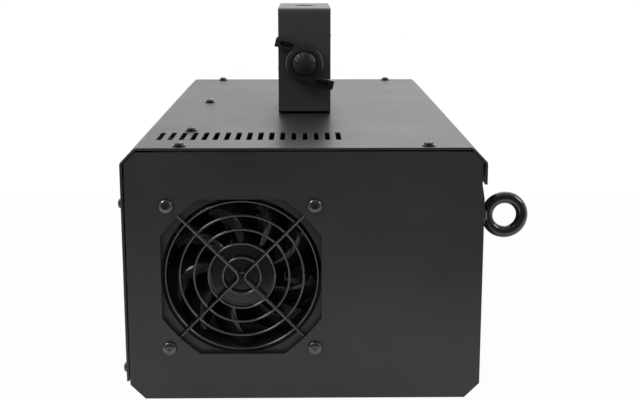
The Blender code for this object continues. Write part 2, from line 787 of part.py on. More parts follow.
def build_end_panels():
    near, cutters = end_panel("fan_end_panel", True)
    cutters.append(extruded("Y", fan_opening(), -SHEET, 2 * SHEET))
    for place in fan_screw_places():
        cutters.append(screw_hole("Y", place, -SHEET, 2 * SHEET, FAN_SCREW_RADIUS))
    cut(near, cutters)
    far, cutters = end_panel("far_end_panel", False)
    low = CASE_LENGTH - 2 * SHEET
    high = CASE_LENGTH + SHEET
    cutters.append(box((HATCH_LEFT, low, HATCH_LOW), (HATCH_RIGHT, high, HATCH_HIGH)))
    for index in range(OUTLET_COUNT):
        z = BASE + OUTLET_RISE + index * OUTLET_PITCH
        cutters.append(block((FAN_X, (low + high) / 2, z), (OUTLET_LENGTH, high - low, SLOT_WIDTH)))
    cut(far, cutters)


def build_screws():
    for index, place in enumerate(cover_screw_places()):
        piece("cover_screw_%d" % (index + 1), screw("Z", place, ROOF, 1), BLACK_STEEL, smooth=True)
    for index, place in enumerate(fan_screw_places()):
        head = screw("Y", place, 0, -1, FAN_SCREW_RADIUS, FAN_SCREW_HEAD, length=FAN_SCREW_LENGTH)
        piece("fan_screw_%d" % (index + 1), head, BLACK_STEEL, smooth=True)


def build_feet():
    """Self-adhesive rubber feet under the floor, dished below."""
    seat = BASE - TOUCH
    for index, place in enumerate(foot_places()):
        profile = [(FOOT_DISH, 0), (FOOT_DISH, FOOT_RADIUS * 0.45), (0, FOOT_RADIUS * 0.55),
                   (0, FOOT_RADIUS * 0.80), (FOOT_DISH, FOOT_RADIUS * 0.88), (seat, FOOT_RADIUS),
                   (seat, 0)]
        piece("rubber_foot_%d" % (index + 1), turned("Z", place, profile, 20), RUBBER, smooth=True)


# ---- fan -----------------------------------------------------------------------------------
def build_fan():
    half = FAN_SIZE / 2
    inset = half - FAN_CORNER
    back = FAN_FRONT + FAN_DEPTH
    outline = [(half, inset), (inset, half), (-inset, half), (-half, inset),
               (-half, -inset), (-inset, -half), (inset, -half), (half, -inset)]
    body = extruded("Y", [(FAN_X + x, FAN_Z + z) for x, z in outline], FAN_FRONT, back)
    frame = piece("fan_frame", body, FAN_PLASTIC)
    cutters = [rod("Y", (FAN_X, FAN_Z), FAN_BORE_RADIUS, FAN_FRONT - SHEET, back + SHEET, 40)]
    for place in fan_screw_places():
        cutters.append(screw_hole("Y", place, FAN_FRONT - SHEET, back + SHEET, FAN_SCREW_RADIUS))
    cut(frame, cutters)
    join(frame, [rod("Y", (FAN_X, FAN_Z), FAN_HUB_RADIUS, back - STRUT_DEPTH, back, 20)])
    reach = FAN_BORE_RADIUS + STRUT_ROOT
    for pair in range(FAN_STRUTS // 2):
        bar = box((-reach, back - STRUT_DEPTH + OVERLAP, -STRUT_WIDTH / 2),
                  (reach, back - OVERLAP, STRUT_WIDTH / 2))
        bmesh.ops.rotate(bar, cent=(0, 0, 0), verts=bar.verts,
                         matrix=Matrix.Rotation(math.radians(STRUT_TURN + 90 * pair), 3, "Y"))
        bmesh.ops.translate(bar, vec=(FAN_X, 0, FAN_Z), verts=bar.verts)
        join(frame, [bar])
    build_rotor(back - STRUT_DEPTH)
    build_guard()


def blade(front, back):
    """One swept, pitched and cambered blade, from inside the hub to the tip."""
    rows = 5
    chord_steps = 3
    inner = FAN_HUB_RADIUS - BLADE_ROOT
    mesh = bmesh.new()
    layers = []
    for side in (0, 1):
        grid = []
        for row in range(rows):
            share = row / (rows - 1)
            radius = inner + (FAN_BLADE_RADIUS - inner) * share
            chord = BLADE_CHORD * (1 - BLADE_TAPER * share)
            line = []
            for step in range(chord_steps + 1):
                along = step / chord_steps
                turn = math.radians(BLADE_SWEEP * share ** BLADE_BOW + (along - 0.5) * chord)
                camber = BLADE_CAMBER * math.sin(math.pi * along)
                depth = back - (back - front) * along - camber + side * BLADE_SHEET
                line.append(mesh.verts.new((radius * math.cos(turn), depth, radius * math.sin(turn))))
            grid.append(line)
        layers.append(grid)
    for layer in layers:
        for row in range(rows - 1):
            for step in range(chord_steps):
                mesh.faces.new((layer[row][step], layer[row][step + 1],
                                layer[row + 1][step + 1], layer[row + 1][step]))
    first, second = layers
    rim = [(row, 0) for row in range(rows)]
    rim += [(rows - 1, step) for step in range(1, chord_steps + 1)]
    rim += [(row, chord_steps) for row in range(rows - 2, -1, -1)]
    rim += [(0, step) for step in range(chord_steps - 1, 0, -1)]
    for here, there in zip(rim, rim[1:] + rim[:1]):
        mesh.faces.new((first[here[0]][here[1]], first[there[0]][there[1]],
                        second[there[0]][there[1]], second[here[0]][here[1]]))
    return closed(mesh)


def build_rotor(carrier_face):
    origin = (FAN_X, FAN_FRONT, FAN_Z)
    axis = axis_empty("fan_axis", origin)
    front = FAN_FRONT + HUB_INSET
    back = carrier_face - 2 * TOUCH
    hub = turned("Y", (FAN_X, FAN_Z), [(front, 0), (front, FAN_HUB_RADIUS - HUB_BEVEL),
                                       (front + HUB_BEVEL, FAN_HUB_RADIUS), (back, FAN_HUB_RADIUS),
                                       (back, 0)], 28)
    rotor = piece("fan_rotor", hub, GLOSS_PLASTIC, axis, origin, smooth=True)
    blades = []
    for index in range(FAN_BLADES):
        leaf = blade(front + BLADE_FRONT_INSET, back - BLADE_BACK_INSET)
        turn = math.radians(BLADE_FIRST) + math.tau * index / FAN_BLADES
        bmesh.ops.rotate(leaf, cent=(0, 0, 0), verts=leaf.verts, matrix=Matrix.Rotation(-turn, 3, "Y"))
        bmesh.ops.translate(leaf, vec=(FAN_X, 0, FAN_Z), verts=leaf.verts)
        blades.append(leaf)
    join(rotor, blades)


def build_guard():
    """Five welded rings behind two V wires, with a loop round each fan screw."""
    spoke_y = SHEET + TOUCH + GUARD_SPOKE_WIRE
    ring_y = spoke_y + GUARD_SPOKE_WIRE + GUARD_RING_WIRE * WELD_SINK
    loop_radius = FAN_SCREW_RADIUS + HOLE_PLAY + 2 * GUARD_SPOKE_WIRE
    eye = FAN_SCREW_PITCH / 2 - loop_radius * math.sqrt(0.5)
    spokes = []
    for side in (-1, 1):
        corners = [(side * eye, eye), (side * GUARD_APEX, 0), (side * eye, -eye)]
        path = rounded(corners, GUARD_BEND)
        spokes.append(tube([(FAN_X + x, spoke_y, FAN_Z + z) for x, z in path], GUARD_SPOKE_WIRE, 6))
    guard = piece("fan_guard", together(spokes), BLACK_STEEL, smooth=True)
    loops = []
    for x, z in fan_screw_places():
        loops.append(torus("Y", (x, spoke_y, z), loop_radius, GUARD_SPOKE_WIRE - SEAM, 12, 6))
    join(guard, loops)
    rings = []
    for index in range(GUARD_RINGS):
        radius = GUARD_FIRST_RADIUS + index * GUARD_RING_PITCH
        rings.append(torus("Y", (FAN_X, ring_y, FAN_Z), radius, GUARD_RING_WIRE, 16 + 4 * index, 5))
    join(guard, rings)


# ---- hanging bracket -----------------------------------------------------------------------
def slot_outline(radius, low, high):
    """Upright slot with round ends, round the pivot's X; low and high are the ends' centres."""
    points = []
    for centre, first in ((high, 0), (low, math.pi)):
        for step in range(SIDES // 2 + 1):
            turn = first + math.tau * step / SIDES
            points.append((YOKE_X + radius * math.cos(turn), centre + radius * math.sin(turn)))
    return points


def build_bracket():
    """Fixed U on the roof whose ears have slots, and the tilting yoke round it."""
    near = YOKE_MID_Y - EAR_OUT
    far = YOKE_MID_Y + EAR_OUT
    seat = ROOF + TOUCH
    top = PIVOT_Z + EAR_TOP
    left = YOKE_X - YOKE_WIDTH / 2
    right = YOKE_X + YOKE_WIDTH / 2
    path = [(near, top), (near, seat), (far, seat), (far, top)]
    base = piece("bracket_base", folded("X", path, EAR_SHEET, BEND, left, right), BLACK_POWDER_COAT)
    slot = slot_outline(STUD_RADIUS + HOLE_PLAY, PIVOT_Z, PIVOT_Z + LIFT)
    cut(base, [extruded("Y", slot, y - 2 * EAR_SHEET, y + 2 * EAR_SHEET) for y in (near, far)])
    build_clamp(near, far)
    build_yoke(left, right)


def build_clamp(near, far):
    """T-bolts that ride along the slots of the ears, and the wing knobs on their threads."""
    origin = (YOKE_X, YOKE_MID_Y, PIVOT_Z)
    axis = axis_empty("yoke_lift_axis", origin)
    centre = (YOKE_X, PIVOT_Z)
    for name, side, ear in (("near", -1, near), ("far", 1, far)):
        face = ear - side * (EAR_SHEET + TOUCH)
        back = face - side * BOLT_HEAD_HEIGHT
        crown = YOKE_MID_Y + side * (YOKE_SPAN / 2 + TOUCH + KNOB_DEPTH)
        root = (face + back) / 2
        tip = crown - side * TOUCH
        head = rod("Y", centre, BOLT_HEAD_RADIUS, min(face, back), max(face, back), 6)
        bolt = piece("clamp_bolt_" + name, head, STEEL, axis, origin)
        join(bolt, [rod("Y", centre, STUD_RADIUS, min(root, tip), max(root, tip))])
        build_knob("wing_knob_" + name, side, crown, axis)


def build_yoke(left, right):
    origin = (YOKE_X, YOKE_MID_Y, PIVOT_Z)
    axis = axis_empty("yoke_tilt_axis", origin)
    path = [(YOKE_NEAR_Y, YOKE_FOOT), (YOKE_NEAR_Y, YOKE_TOP),
            (YOKE_FAR_Y, YOKE_TOP), (YOKE_FAR_Y, YOKE_FOOT)]
    strip = folded("X", path, -YOKE_SHEET, YOKE_BEND - YOKE_SHEET, left, right, YOKE_BEND_STEPS)
    yoke = piece("yoke", strip, BLACK_POWDER_COAT, axis, origin)
    cutters = [rod("Z", (YOKE_X, YOKE_MID_Y), CLAMP_HOLE_RADIUS, YOKE_TOP - 2 * YOKE_SHEET,
                   YOKE_TOP + YOKE_SHEET, 24)]
    for y in (YOKE_NEAR_Y, YOKE_FAR_Y):
        cutters.append(rod("Y", (YOKE_X, PIVOT_Z), STUD_RADIUS + HOLE_PLAY, y - 2 * YOKE_SHEET,
                           y + 2 * YOKE_SHEET))
    cut(yoke, cutters)


def build_knob(name, side, crown, lift_axis):
    """Boss with a blind bore, a raised cap and two wings that leave it like a pinwheel."""
    leg = YOKE_MID_Y + side * YOKE_SPAN / 2
    seat = leg + side * TOUCH
    cap = crown + side * KNOB_CAP_HEIGHT
    origin = (YOKE_X, seat, PIVOT_Z)
    axis = axis_empty(name + "_axis", origin, lift_axis)
    bore = STUD_RADIUS + HOLE_PLAY
    profile = [(crown, 0), (crown, bore), (seat, bore), (seat, KNOB_RADIUS),
               (crown - side * KNOB_BEVEL, KNOB_RADIUS), (crown, KNOB_RADIUS - KNOB_BEVEL),
               (crown, KNOB_CAP_RADIUS), (crown + side * KNOB_CAP_STEP, KNOB_CAP_RADIUS),
               (cap, KNOB_CAP_RADIUS * KNOB_CAP_TAPER), (cap, 0)]
    knob = piece(name, turned("Y", (YOKE_X, PIVOT_Z), profile, 28), GLOSS_PLASTIC, axis, origin,
                 smooth=True)
    wings = []
    for turn in (0, math.pi):
        wing = extruded("Y", wing_outline(), 0, WING_DEPTH)
        bmesh.ops.rotate(wing, cent=(0, 0, 0), matrix=Matrix.Rotation(turn, 3, "Y"), verts=wing.verts)
        if side > 0:
            bmesh.ops.scale(wing, vec=(-1, 1, 1), verts=wing.verts)
            closed(wing)
        low = min(seat + side * WING_INSET, seat + side * (WING_INSET + WING_DEPTH))
        bmesh.ops.translate(wing, vec=(YOKE_X, low, PIVOT_Z), verts=wing.verts)
        wings.append(wing)
    join(knob, wings)


def wing_outline():
    """Upper left wing seen from the front: a straight top edge that runs tangent to the boss."""
    inner = KNOB_RADIUS - WING_ROOT
    leave = math.radians(WING_LEAVE_TURN)
    meet = math.radians(WING_MEET_TURN)
    return [(inner * math.cos(leave), inner * math.sin(leave)),
            (WING_BEVEL - WING_TIP_OUT, WING_TIP_UP), (-WING_TIP_OUT, WING_TIP_UP - WING_BEVEL),
            (-WING_TIP_OUT - WING_FLARE, WING_TIP_UP - WING_TIP_WIDTH),
            (inner * math.cos(meet), inner * math.sin(meet)),
            (-WING_TAIL / 2, WING_TAIL), (0, WING_TAIL)]


def build_eye_bolt():
    """Safety eye bolt: ring, collar and shank in one, with a nut inside the case."""
    collar_in = REAR_WALL + TOUCH
    collar_out = collar_in + EYE_COLLAR
    nut_face = REAR_INSIDE - TOUCH
    end = nut_face - EYE_NUT_HEIGHT - EYE_SHANK_PROUD
    ring = torus("Y", (EYE_X, EYE_Y, EYE_Z), EYE_MAJOR, EYE_MINOR, 24, 8)
    bolt = piece("eye_bolt", ring, GLOSS_METAL, smooth=True)
    profile = [(collar_out, 0), (collar_out, EYE_COLLAR_RADIUS), (collar_in, EYE_COLLAR_RADIUS),
               (collar_in, EYE_SHANK_RADIUS), (end, EYE_SHANK_RADIUS), (end, 0)]
    join(bolt, [turned("X", (EYE_Y, EYE_Z), profile, 20)])
    nut = rod("X", (EYE_Y, EYE_Z), EYE_NUT_RADIUS, nut_face - EYE_NUT_HEIGHT, nut_face, 6)
    item = piece("eye_bolt_nut", nut, STEEL)
    cut(item, [rod("X", (EYE_Y, EYE_Z), EYE_SHANK_RADIUS + HOLE_PLAY, end, nut_face + SHEET)])


# ---- heater --------------------------------------------------------------------------------
def build_heater():
    near = HEATER_Y - HEATER_LENGTH / 2
    far = HEATER_Y + HEATER_LENGTH / 2
    left = HEATER_X - HEATER_WIDTH / 2
    right = HEATER_X + HEATER_WIDTH / 2
    top = HEATER_Z + HEATER_WIDTH
    body = box((left, near, HEATER_Z), (right, far, top))
    bmesh.ops.bevel(body, geom=body.edges, offset=HEATER_BEVEL, segments=1, affect="EDGES",
                    profile=0.5, material=-1)
    heater = piece("heater_block", body, CAST_ALUMINIUM)
    cut(heater, [rod("X", (HEATER_Y, NOZZLE_Z), NOZZLE_STEM + HOLE_PLAY, left - HEATER_BEVEL,
                     left + NOZZLE_THREAD + TOUCH)])
    port_z = HEATER_Z + PORT_RISE
    join(heater, [rod("Y", (HEATER_X - PORT_SHIFT, port_z), PORT_RADIUS, near - PORT_REACH,
                      near + PORT_RADIUS)])
    join(heater, [rod("Y", (HEATER_X + PORT_SHIFT, port_z), PORT_RADIUS, far - PORT_RADIUS,
                      far + PORT_REACH)])
    build_wool(near, far, left, right, top)
    build_thermostat(near + THERMOSTAT_INSET, top + TOUCH)
    build_heater_cradle(near, far)
    build_nozzle(left)
    build_shield()


def build_wool(near, far, left, right, top):
    """Pressed mineral wool over the top and both sides of the block."""
    low = HEATER_Z + WOOL_RISE
    inner = top + SHEET_FIT
    outer = inner + WOOL
    left_in = left - SHEET_FIT
    right_in = right + SHEET_FIT
    path = [(left_in - WOOL, low), (left_in - WOOL, outer), (right_in + WOOL, outer),
            (right_in + WOOL, low), (right_in, low), (right_in, inner), (left_in, inner), (left_in, low)]
    wool = extruded("Y", path, near + WOOL_END_INSET, far - WOOL_END_INSET)
    item = piece("heater_insulation", wool, MINERAL_WOOL)
    cut(item, [rod("X", (HEATER_Y, NOZZLE_Z), NOZZLE_COLLAR, left_in - WOOL - SHEET, left_in + SHEET),
               rod("Z", (HEATER_X, near + THERMOSTAT_INSET), THERMOSTAT_RADIUS + THERMOSTAT_ROOM,
                   inner - SHEET, outer + SHEET)])


def build_thermostat(y, seat):
    """Bimetal thermostat on the block, with two flat terminals."""
    shoulder = seat + THERMOSTAT_FLANGE
    crown = seat + THERMOSTAT_HEIGHT
    neck = THERMOSTAT_RADIUS * THERMOSTAT_NECK
    disc = turned("Z", (HEATER_X, y), [(seat, 0), (seat, THERMOSTAT_RADIUS), (shoulder, THERMOSTAT_RADIUS),
                                       (shoulder, neck), (crown, neck), (crown, 0)], 20)
    thermostat = piece("thermostat", disc, STEEL, smooth=True)
    tab_foot = crown - TAB_SHEET
    tab_middle = (tab_foot + crown + TAB_HEIGHT) / 2
    tab_size = (TAB_SHEET, TAB_WIDTH, crown + TAB_HEIGHT - tab_foot)
    join(thermostat, [block((HEATER_X + side * TAB_SPREAD, y, tab_middle), tab_size) for side in (-1, 1)])


def build_heater_cradle(near, far):
    """One folded cradle, welded to the floor, on whose shelf the block rests."""
    foot = FLOOR + TOUCH + BRACKET_SHEET
    head = HEATER_Z - TOUCH
    left = near + CRADLE_INSET
    right = far - CRADLE_INSET
    path = [(left - CRADLE_FOOT, foot), (left, foot), (left, head), (right, head),
            (right, foot), (right + CRADLE_FOOT, foot)]
    sheet = folded("X", path, -BRACKET_SHEET, BEND, HEATER_X - CRADLE_WIDTH / 2, HEATER_X + CRADLE_WIDTH / 2)
    piece("heater_cradle", sheet, STEEL)


def build_nozzle(block_side):
    """Brass nozzle screwed into the block, out through the shield, the cover and its plate."""
    thread_end = block_side + NOZZLE_THREAD
    shoulder = block_side - TOUCH
    neck = block_side - NOZZLE_SHOULDER
    head = -HALF - NOZZLE_SHOULDER
    cup_end = NOZZLE_TIP + NOZZLE_CUP_DEPTH
    profile = [(thread_end, NOZZLE_BORE), (thread_end, NOZZLE_STEM), (shoulder, NOZZLE_STEM),
               (shoulder, NOZZLE_HEAD), (neck, NOZZLE_HEAD), (neck, NOZZLE_WAIST),
               (head, NOZZLE_WAIST), (head, NOZZLE_HEAD), (NOZZLE_TIP + NOZZLE_BEVEL, NOZZLE_HEAD),
               (NOZZLE_TIP, NOZZLE_HEAD - NOZZLE_BEVEL), (NOZZLE_TIP, NOZZLE_CUP),
               (cup_end, NOZZLE_CUP), (cup_end + NOZZLE_CONE, NOZZLE_BORE)]
    piece("nozzle", turned("X", (HEATER_Y, NOZZLE_Z), profile, 16), BRASS, smooth=True)
    back = -HALF - TOUCH
    middle = (back - PLATE_SHEET / 2, HEATER_Y, NOZZLE_Z)
    plate = piece("nozzle_plate", block(middle, (PLATE_SHEET, NOZZLE_PLATE, NOZZLE_PLATE)),
                  BLACK_POWDER_COAT)
    cut(plate, [rod("X", (HEATER_Y, NOZZLE_Z), NOZZLE_HOLE, back - 2 * PLATE_SHEET, back + PLATE_SHEET, 24)])


def build_shield():
    """Folded plate under the roof that keeps the block's heat off the left wall."""
    top = CEILING - TOUCH
    path = [(SHIELD_X, top - SHIELD_DROP), (SHIELD_X, top), (SHIELD_X + SHIELD_FLANGE, top)]
    sheet = folded("Y", path, -SHEET, BEND, SHIELD_NEAR_Y, SHIELD_NEAR_Y + SHIELD_LENGTH)
    shield = piece("heat_shield", sheet, ALUMINIUM_SHEET)
    cut(shield, [rod("X", (HEATER_Y, NOZZLE_Z), NOZZLE_HOLE, SHIELD_X - SHEET, SHIELD_X + 2 * SHEET, 20)])


# ---- pump ----------------------------------------------------------------------------------
def build_pump():
    near = PUMP_Y - PUMP_LENGTH / 2
    far = PUMP_Y + PUMP_LENGTH / 2
    outlet = near - BARB_LENGTH
    inlet = far + BARB_LENGTH
    bore_near = near + PUMP_END_WALL
    bore_far = far - PUMP_END_WALL
    centre = (PUMP_X, PUMP_Z)
    profile = [(outlet, BARB_RADIUS), (near, BARB_RADIUS), (near, PUMP_RADIUS), (far, PUMP_RADIUS),
               (far, BARB_RADIUS), (inlet, BARB_RADIUS), (inlet, NOZZLE_BORE), (bore_far, NOZZLE_BORE),
               (bore_far, PUMP_BORE), (bore_near, PUMP_BORE), (bore_near, NOZZLE_BORE),
               (outlet, NOZZLE_BORE)]
    piece("pump_body", turned("Y", centre, profile, 16), BRASS, smooth=True)
    coil = block((PUMP_X, PUMP_Y, PUMP_Z), (COIL_SIZE, COIL_LENGTH, COIL_SIZE))
    item = piece("pump_coil", coil, MATT_PLASTIC)
    cut(item, [rod("Y", centre, PUMP_RADIUS + TOUCH, near, far, 20)])
    plunger_far = bore_far - TOUCH
    plunger_near = plunger_far - PLUNGER_LENGTH
    origin = (PUMP_X, plunger_near, PUMP_Z)
    axis = axis_empty("plunger_axis", origin)
    piece("pump_plunger", rod("Y", centre, PUMP_BORE - TOUCH, plunger_near, plunger_far), STEEL, axis,
          origin, smooth=True)
    build_spring(bore_near + TOUCH + SPRING_WIRE, plunger_near - TOUCH - SPRING_WIRE)
    half = COIL_SIZE / 2 + TOUCH + BRACKET_SHEET
    foot = FLOOR + TOUCH
    head = PUMP_Z + COIL_SIZE / 2
    cradle = [(PUMP_X - half, head), (PUMP_X - half, foot), (PUMP_X + half, foot), (PUMP_X + half, head)]
    sheet = folded("Y", cradle, BRACKET_SHEET, BEND, PUMP_Y - PUMP_BRACKET / 2, PUMP_Y + PUMP_BRACKET / 2)
    piece("pump_bracket", sheet, STEEL)
    build_pressure_tube(outlet - TOUCH)
    build_suction_tube(inlet + TOUCH)


def build_spring(start, end):
    """Return spring between the near end of the bore and the plunger."""
    radius = PUMP_BORE - 2 * TOUCH - SPRING_WIRE
    steps = SPRING_TURNS * 8
    path = []
    for step in range(steps + 1):
        share = step / steps
        turn = math.tau * SPRING_TURNS * share
        path.append((PUMP_X + radius * math.cos(turn), start + (end - start) * share,
                     PUMP_Z + radius * math.sin(turn)))
    piece("pump_spring", tube(path, SPRING_WIRE, 4), STEEL, smooth=True)


def smooth_route(points, steps):
    """Points on a smooth curve through the route's own points."""
    nodes = [Vector(point) for point in points]
    result = []
    for index in range(len(nodes) - 1):
        before = nodes[max(index - 1, 0)]
        here = nodes[index]
        there = nodes[index + 1]
        after = nodes[min(index + 2, len(nodes) - 1)]
        for step in range(steps):
            t = step / steps
            bend = 2 * before - 5 * here + 4 * there - after
            swing = 3 * here - before - 3 * there + after
            result.append((2 * here + (there - before) * t + bend * t ** 2 + swing * t ** 3) / 2)
    result.append(nodes[-1])
    return result


def build_pressure_tube(start):
    """Copper tube from the pump's near end, round under the coil and into the heater's port."""
    port_x = HEATER_X - PORT_SHIFT
    port_z = HEATER_Z + PORT_RISE
    end = HEATER_Y - HEATER_LENGTH / 2 - PORT_REACH - TOUCH
    points = [(PUMP_X, start, PUMP_Z), (PUMP_X, start - 0.003, PUMP_Z),
              (PUMP_X, start - 0.006, PUMP_Z), (PUMP_X - 0.008, start - 0.011, PUMP_Z),
              (PUMP_X - 0.022, start - 0.002, PUMP_Z - 0.004),
              (HEATER_X + 0.030, start + 0.018, PUMP_Z - 0.010),
              (port_x + 0.010, end - 0.024, port_z), (port_x, end - 0.012, port_z),
              (port_x, end - 0.006, port_z), (port_x, end, port_z)]
    route = smooth_route(points, 2)
    piece("pressure_tube", tube(route, COPPER_TUBE_RADIUS, 6), COPPER, smooth=True)


def build_suction_tube(end):
    """Clear tube from the bottom of the tank, up through its cap and down to the pump."""
    over = CAP_TOP + SUCTION_RISE
    points = [(TANK_X, NECK_Y, TANK_FOOT + TANK_WALL + 0.004), (TANK_X, NECK_Y, TANK_FOOT + 0.030),
              (TANK_X, NECK_Y, TANK_FOOT + 0.060), (TANK_X, NECK_Y, CAP_TOP - 0.006),
              (TANK_X, NECK_Y, CAP_TOP + 0.001), (TANK_X, NECK_Y, CAP_TOP + 0.006),
              (TANK_X - 0.002, NECK_Y - 0.010, over), (TANK_X - 0.004, NECK_Y - 0.045, over + 0.001),
              (TANK_X - 0.010, NECK_Y - 0.090, over - 0.002),
              (PUMP_X + 0.006, NECK_Y - 0.125, over - 0.014),
              (PUMP_X, end + 0.026, PUMP_Z + 0.016), (PUMP_X, end + 0.010, PUMP_Z),
              (PUMP_X, end + 0.005, PUMP_Z), (PUMP_X, end, PUMP_Z)]
    piece("suction_tube", tube(smooth_route(points, 3), TUBE_RADIUS, 6), CLEAR_PLASTIC, smooth=True)


# ---- tank, cap and hatch door --------------------------------------------------------------
def build_tank():
    left = TANK_X - TANK_WIDTH / 2
    right = TANK_X + TANK_WIDTH / 2
    shoulder = TANK_TOP - NECK_HEIGHT
    body = box((left, TANK_NEAR, TANK_FOOT), (right, TANK_FAR, shoulder))
    uprights = [edge for edge in body.edges
                if abs(edge.verts[0].co.z - edge.verts[1].co.z) > NECK_HEIGHT]
    bmesh.ops.bevel(body, geom=uprights, offset=TANK_CORNER, segments=2, affect="EDGES",
                    profile=0.5, material=-1)
    tank = piece("tank", body, TANK_PLASTIC, smooth=True)
    join(tank, [rod("Z", (TANK_X, NECK_Y), NECK_RADIUS, shoulder - TANK_WALL / 2, TANK_TOP, 24)])
    cut(tank, [box((left + TANK_WALL, TANK_NEAR + TANK_WALL, TANK_FOOT + TANK_WALL),
                   (right - TANK_WALL, TANK_FAR - TANK_WALL, shoulder - TANK_WALL))])
    cut(tank, [rod("Z", (TANK_X, NECK_Y), NECK_RADIUS - TANK_WALL, shoulder - 2 * TANK_WALL,
                   TANK_TOP + TANK_WALL, 24)])
    build_cap(shoulder)


def build_cap(shoulder):
    """Screw cap over the neck, with a hole for the suction tube."""
    origin = (TANK_X, NECK_Y, CAP_FOOT)
    axis = axis_empty("tank_cap_axis", origin)
    skirt = shoulder + TANK_WALL
    inner = NECK_RADIUS + TOUCH
    hole = TUBE_RADIUS + HOLE_PLAY
    profile = [(skirt, inner), (skirt, CAP_RADIUS), (CAP_TOP - CAP_BEVEL, CAP_RADIUS),
               (CAP_TOP, CAP_RADIUS - CAP_BEVEL), (CAP_TOP, hole), (CAP_FOOT, hole), (CAP_FOOT, inner)]
    piece("tank_cap", turned("Z", (TANK_X, NECK_Y), profile, 24), MATT_PLASTIC, axis, origin,
          smooth=True)


def build_door():
    """Hatch door on a pin hinge, closed by a magnet."""
    low = HATCH_LOW - DOOR_SILL
    high = HATCH_HIGH + DOOR_MARGIN
    right = HATCH_RIGHT + DOOR_STRIKE
    back = CASE_LENGTH + TOUCH
    origin = (HINGE_X, HINGE_Y, low)
    axis = axis_empty("tank_door_axis", origin)
    leaf = box((DOOR_LEFT, back, low), (right, DOOR_OUT, high))
    door = piece("tank_door", leaf, BLACK_POWDER_COAT, axis, origin)
    pull_low = (low + high - DOOR_PULL_HEIGHT) / 2
    pull_high = pull_low + DOOR_PULL_HEIGHT
    join(door, [box((right - SHEET, back + OVERLAP, pull_low),
                    (right - SEAM, DOOR_OUT + DOOR_PULL, pull_high))])
    span = (high - low - (KNUCKLES - 1) * KNUCKLE_GAP) / KNUCKLES
    middle_low = low + span + KNUCKLE_GAP
    middle_high = middle_low + span
    bore = HINGE_PIN + HOLE_PLAY
    barrel = turned("Z", (HINGE_X, HINGE_Y), [(middle_low, bore), (middle_low, HINGE_RADIUS),
                                              (middle_high, HINGE_RADIUS), (middle_high, bore)])
    join(door, [box((HINGE_X + bore + OVERLAP, back + OVERLAP, middle_low + OVERLAP),
                    (DOOR_LEFT + SHEET, DOOR_OUT - OVERLAP, middle_high - OVERLAP))])
    join(door, [barrel])
    build_hinge(back, low, high, middle_low - KNUCKLE_GAP, middle_high + KNUCKLE_GAP)
    magnet_back = CASE_LENGTH - SHEET - TOUCH
    magnet = box((HATCH_RIGHT - MAGNET_OVER, magnet_back - MAGNET_DEPTH, pull_low),
                 (REAR_INSIDE - TOUCH, magnet_back, pull_high))
    piece("door_magnet", magnet, MATT_PLASTIC)


def build_hinge(back, low, high, gap_low, gap_high):
    """Leaf welded to the far end panel, with the two outer knuckles and the pin."""
    sheet = box((HINGE_X - HINGE_LEAF, back, low), (HINGE_X - HINGE_PIN - HOLE_PLAY - TOUCH, DOOR_OUT, high))
    leaf = piece("door_hinge", sheet, STEEL)
    cut(leaf, [box((HINGE_X - HINGE_RADIUS - KNUCKLE_GAP, back - SHEET, gap_low),
                   (HINGE_X, DOOR_OUT + SHEET, gap_high))])
    centre = (HINGE_X, HINGE_Y)
    join(leaf, [rod("Z", centre, HINGE_RADIUS, low + OVERLAP, gap_low),
                rod("Z", centre, HINGE_RADIUS, gap_high, high - OVERLAP)])
    join(leaf, [rod("Z", centre, HINGE_PIN, low + HINGE_PIN, high - HINGE_PIN, 12)])


# ---- rear controls -------------------------------------------------------------------------
def button_places():
    first = PANEL_Y - (BUTTON_COUNT - 1) / 2 * BUTTON_PITCH
    return [(first + index * BUTTON_PITCH, PANEL_Z - BUTTON_DROP) for index in range(BUTTON_COUNT)]


def build_control_panel():
    """Cover plate of the controls, with a window for the display and holes for the buttons."""
    middle = ((PANEL_BACK + PANEL_FACE) / 2, PANEL_Y, PANEL_Z)
    plate = block(middle, (PLATE_SHEET, PANEL_LENGTH, PANEL_HEIGHT))
    panel = piece("control_panel", plate, MATT_PLASTIC)
    cutters = [block((PANEL_BACK, PANEL_Y, DISPLAY_Z), (4 * PLATE_SHEET, DISPLAY_LENGTH, DISPLAY_HEIGHT))]
    for place in button_places():
        cutters.append(rod("X", place, BUTTON_RADIUS + BUTTON_PLAY, PANEL_BACK - PLATE_SHEET,
                           PANEL_FACE + PLATE_SHEET, 12))
    cut(panel, cutters)
    back = PANEL_BACK - TOUCH
    flange = block((back - WINDOW_SHEET / 2, PANEL_Y, DISPLAY_Z),
                   (WINDOW_SHEET, DISPLAY_LENGTH + 2 * WINDOW_RIM, DISPLAY_HEIGHT + 2 * WINDOW_RIM))
    window = piece("display_window", flange, GLASS)
    inner = back - WINDOW_SHEET / 2
    face = PANEL_FACE - OVERLAP
    join(window, [block(((inner + face) / 2, PANEL_Y, DISPLAY_Z),
                        (face - inner, DISPLAY_LENGTH - 2 * TOUCH, DISPLAY_HEIGHT - 2 * TOUCH))])
    board_face = REAR_INSIDE - BOARD_DEPTH
    build_board(board_face, back - WINDOW_SHEET - TOUCH)
    build_buttons(board_face + TACT_HEIGHT + BUTTON_TRAVEL + TOUCH, back)


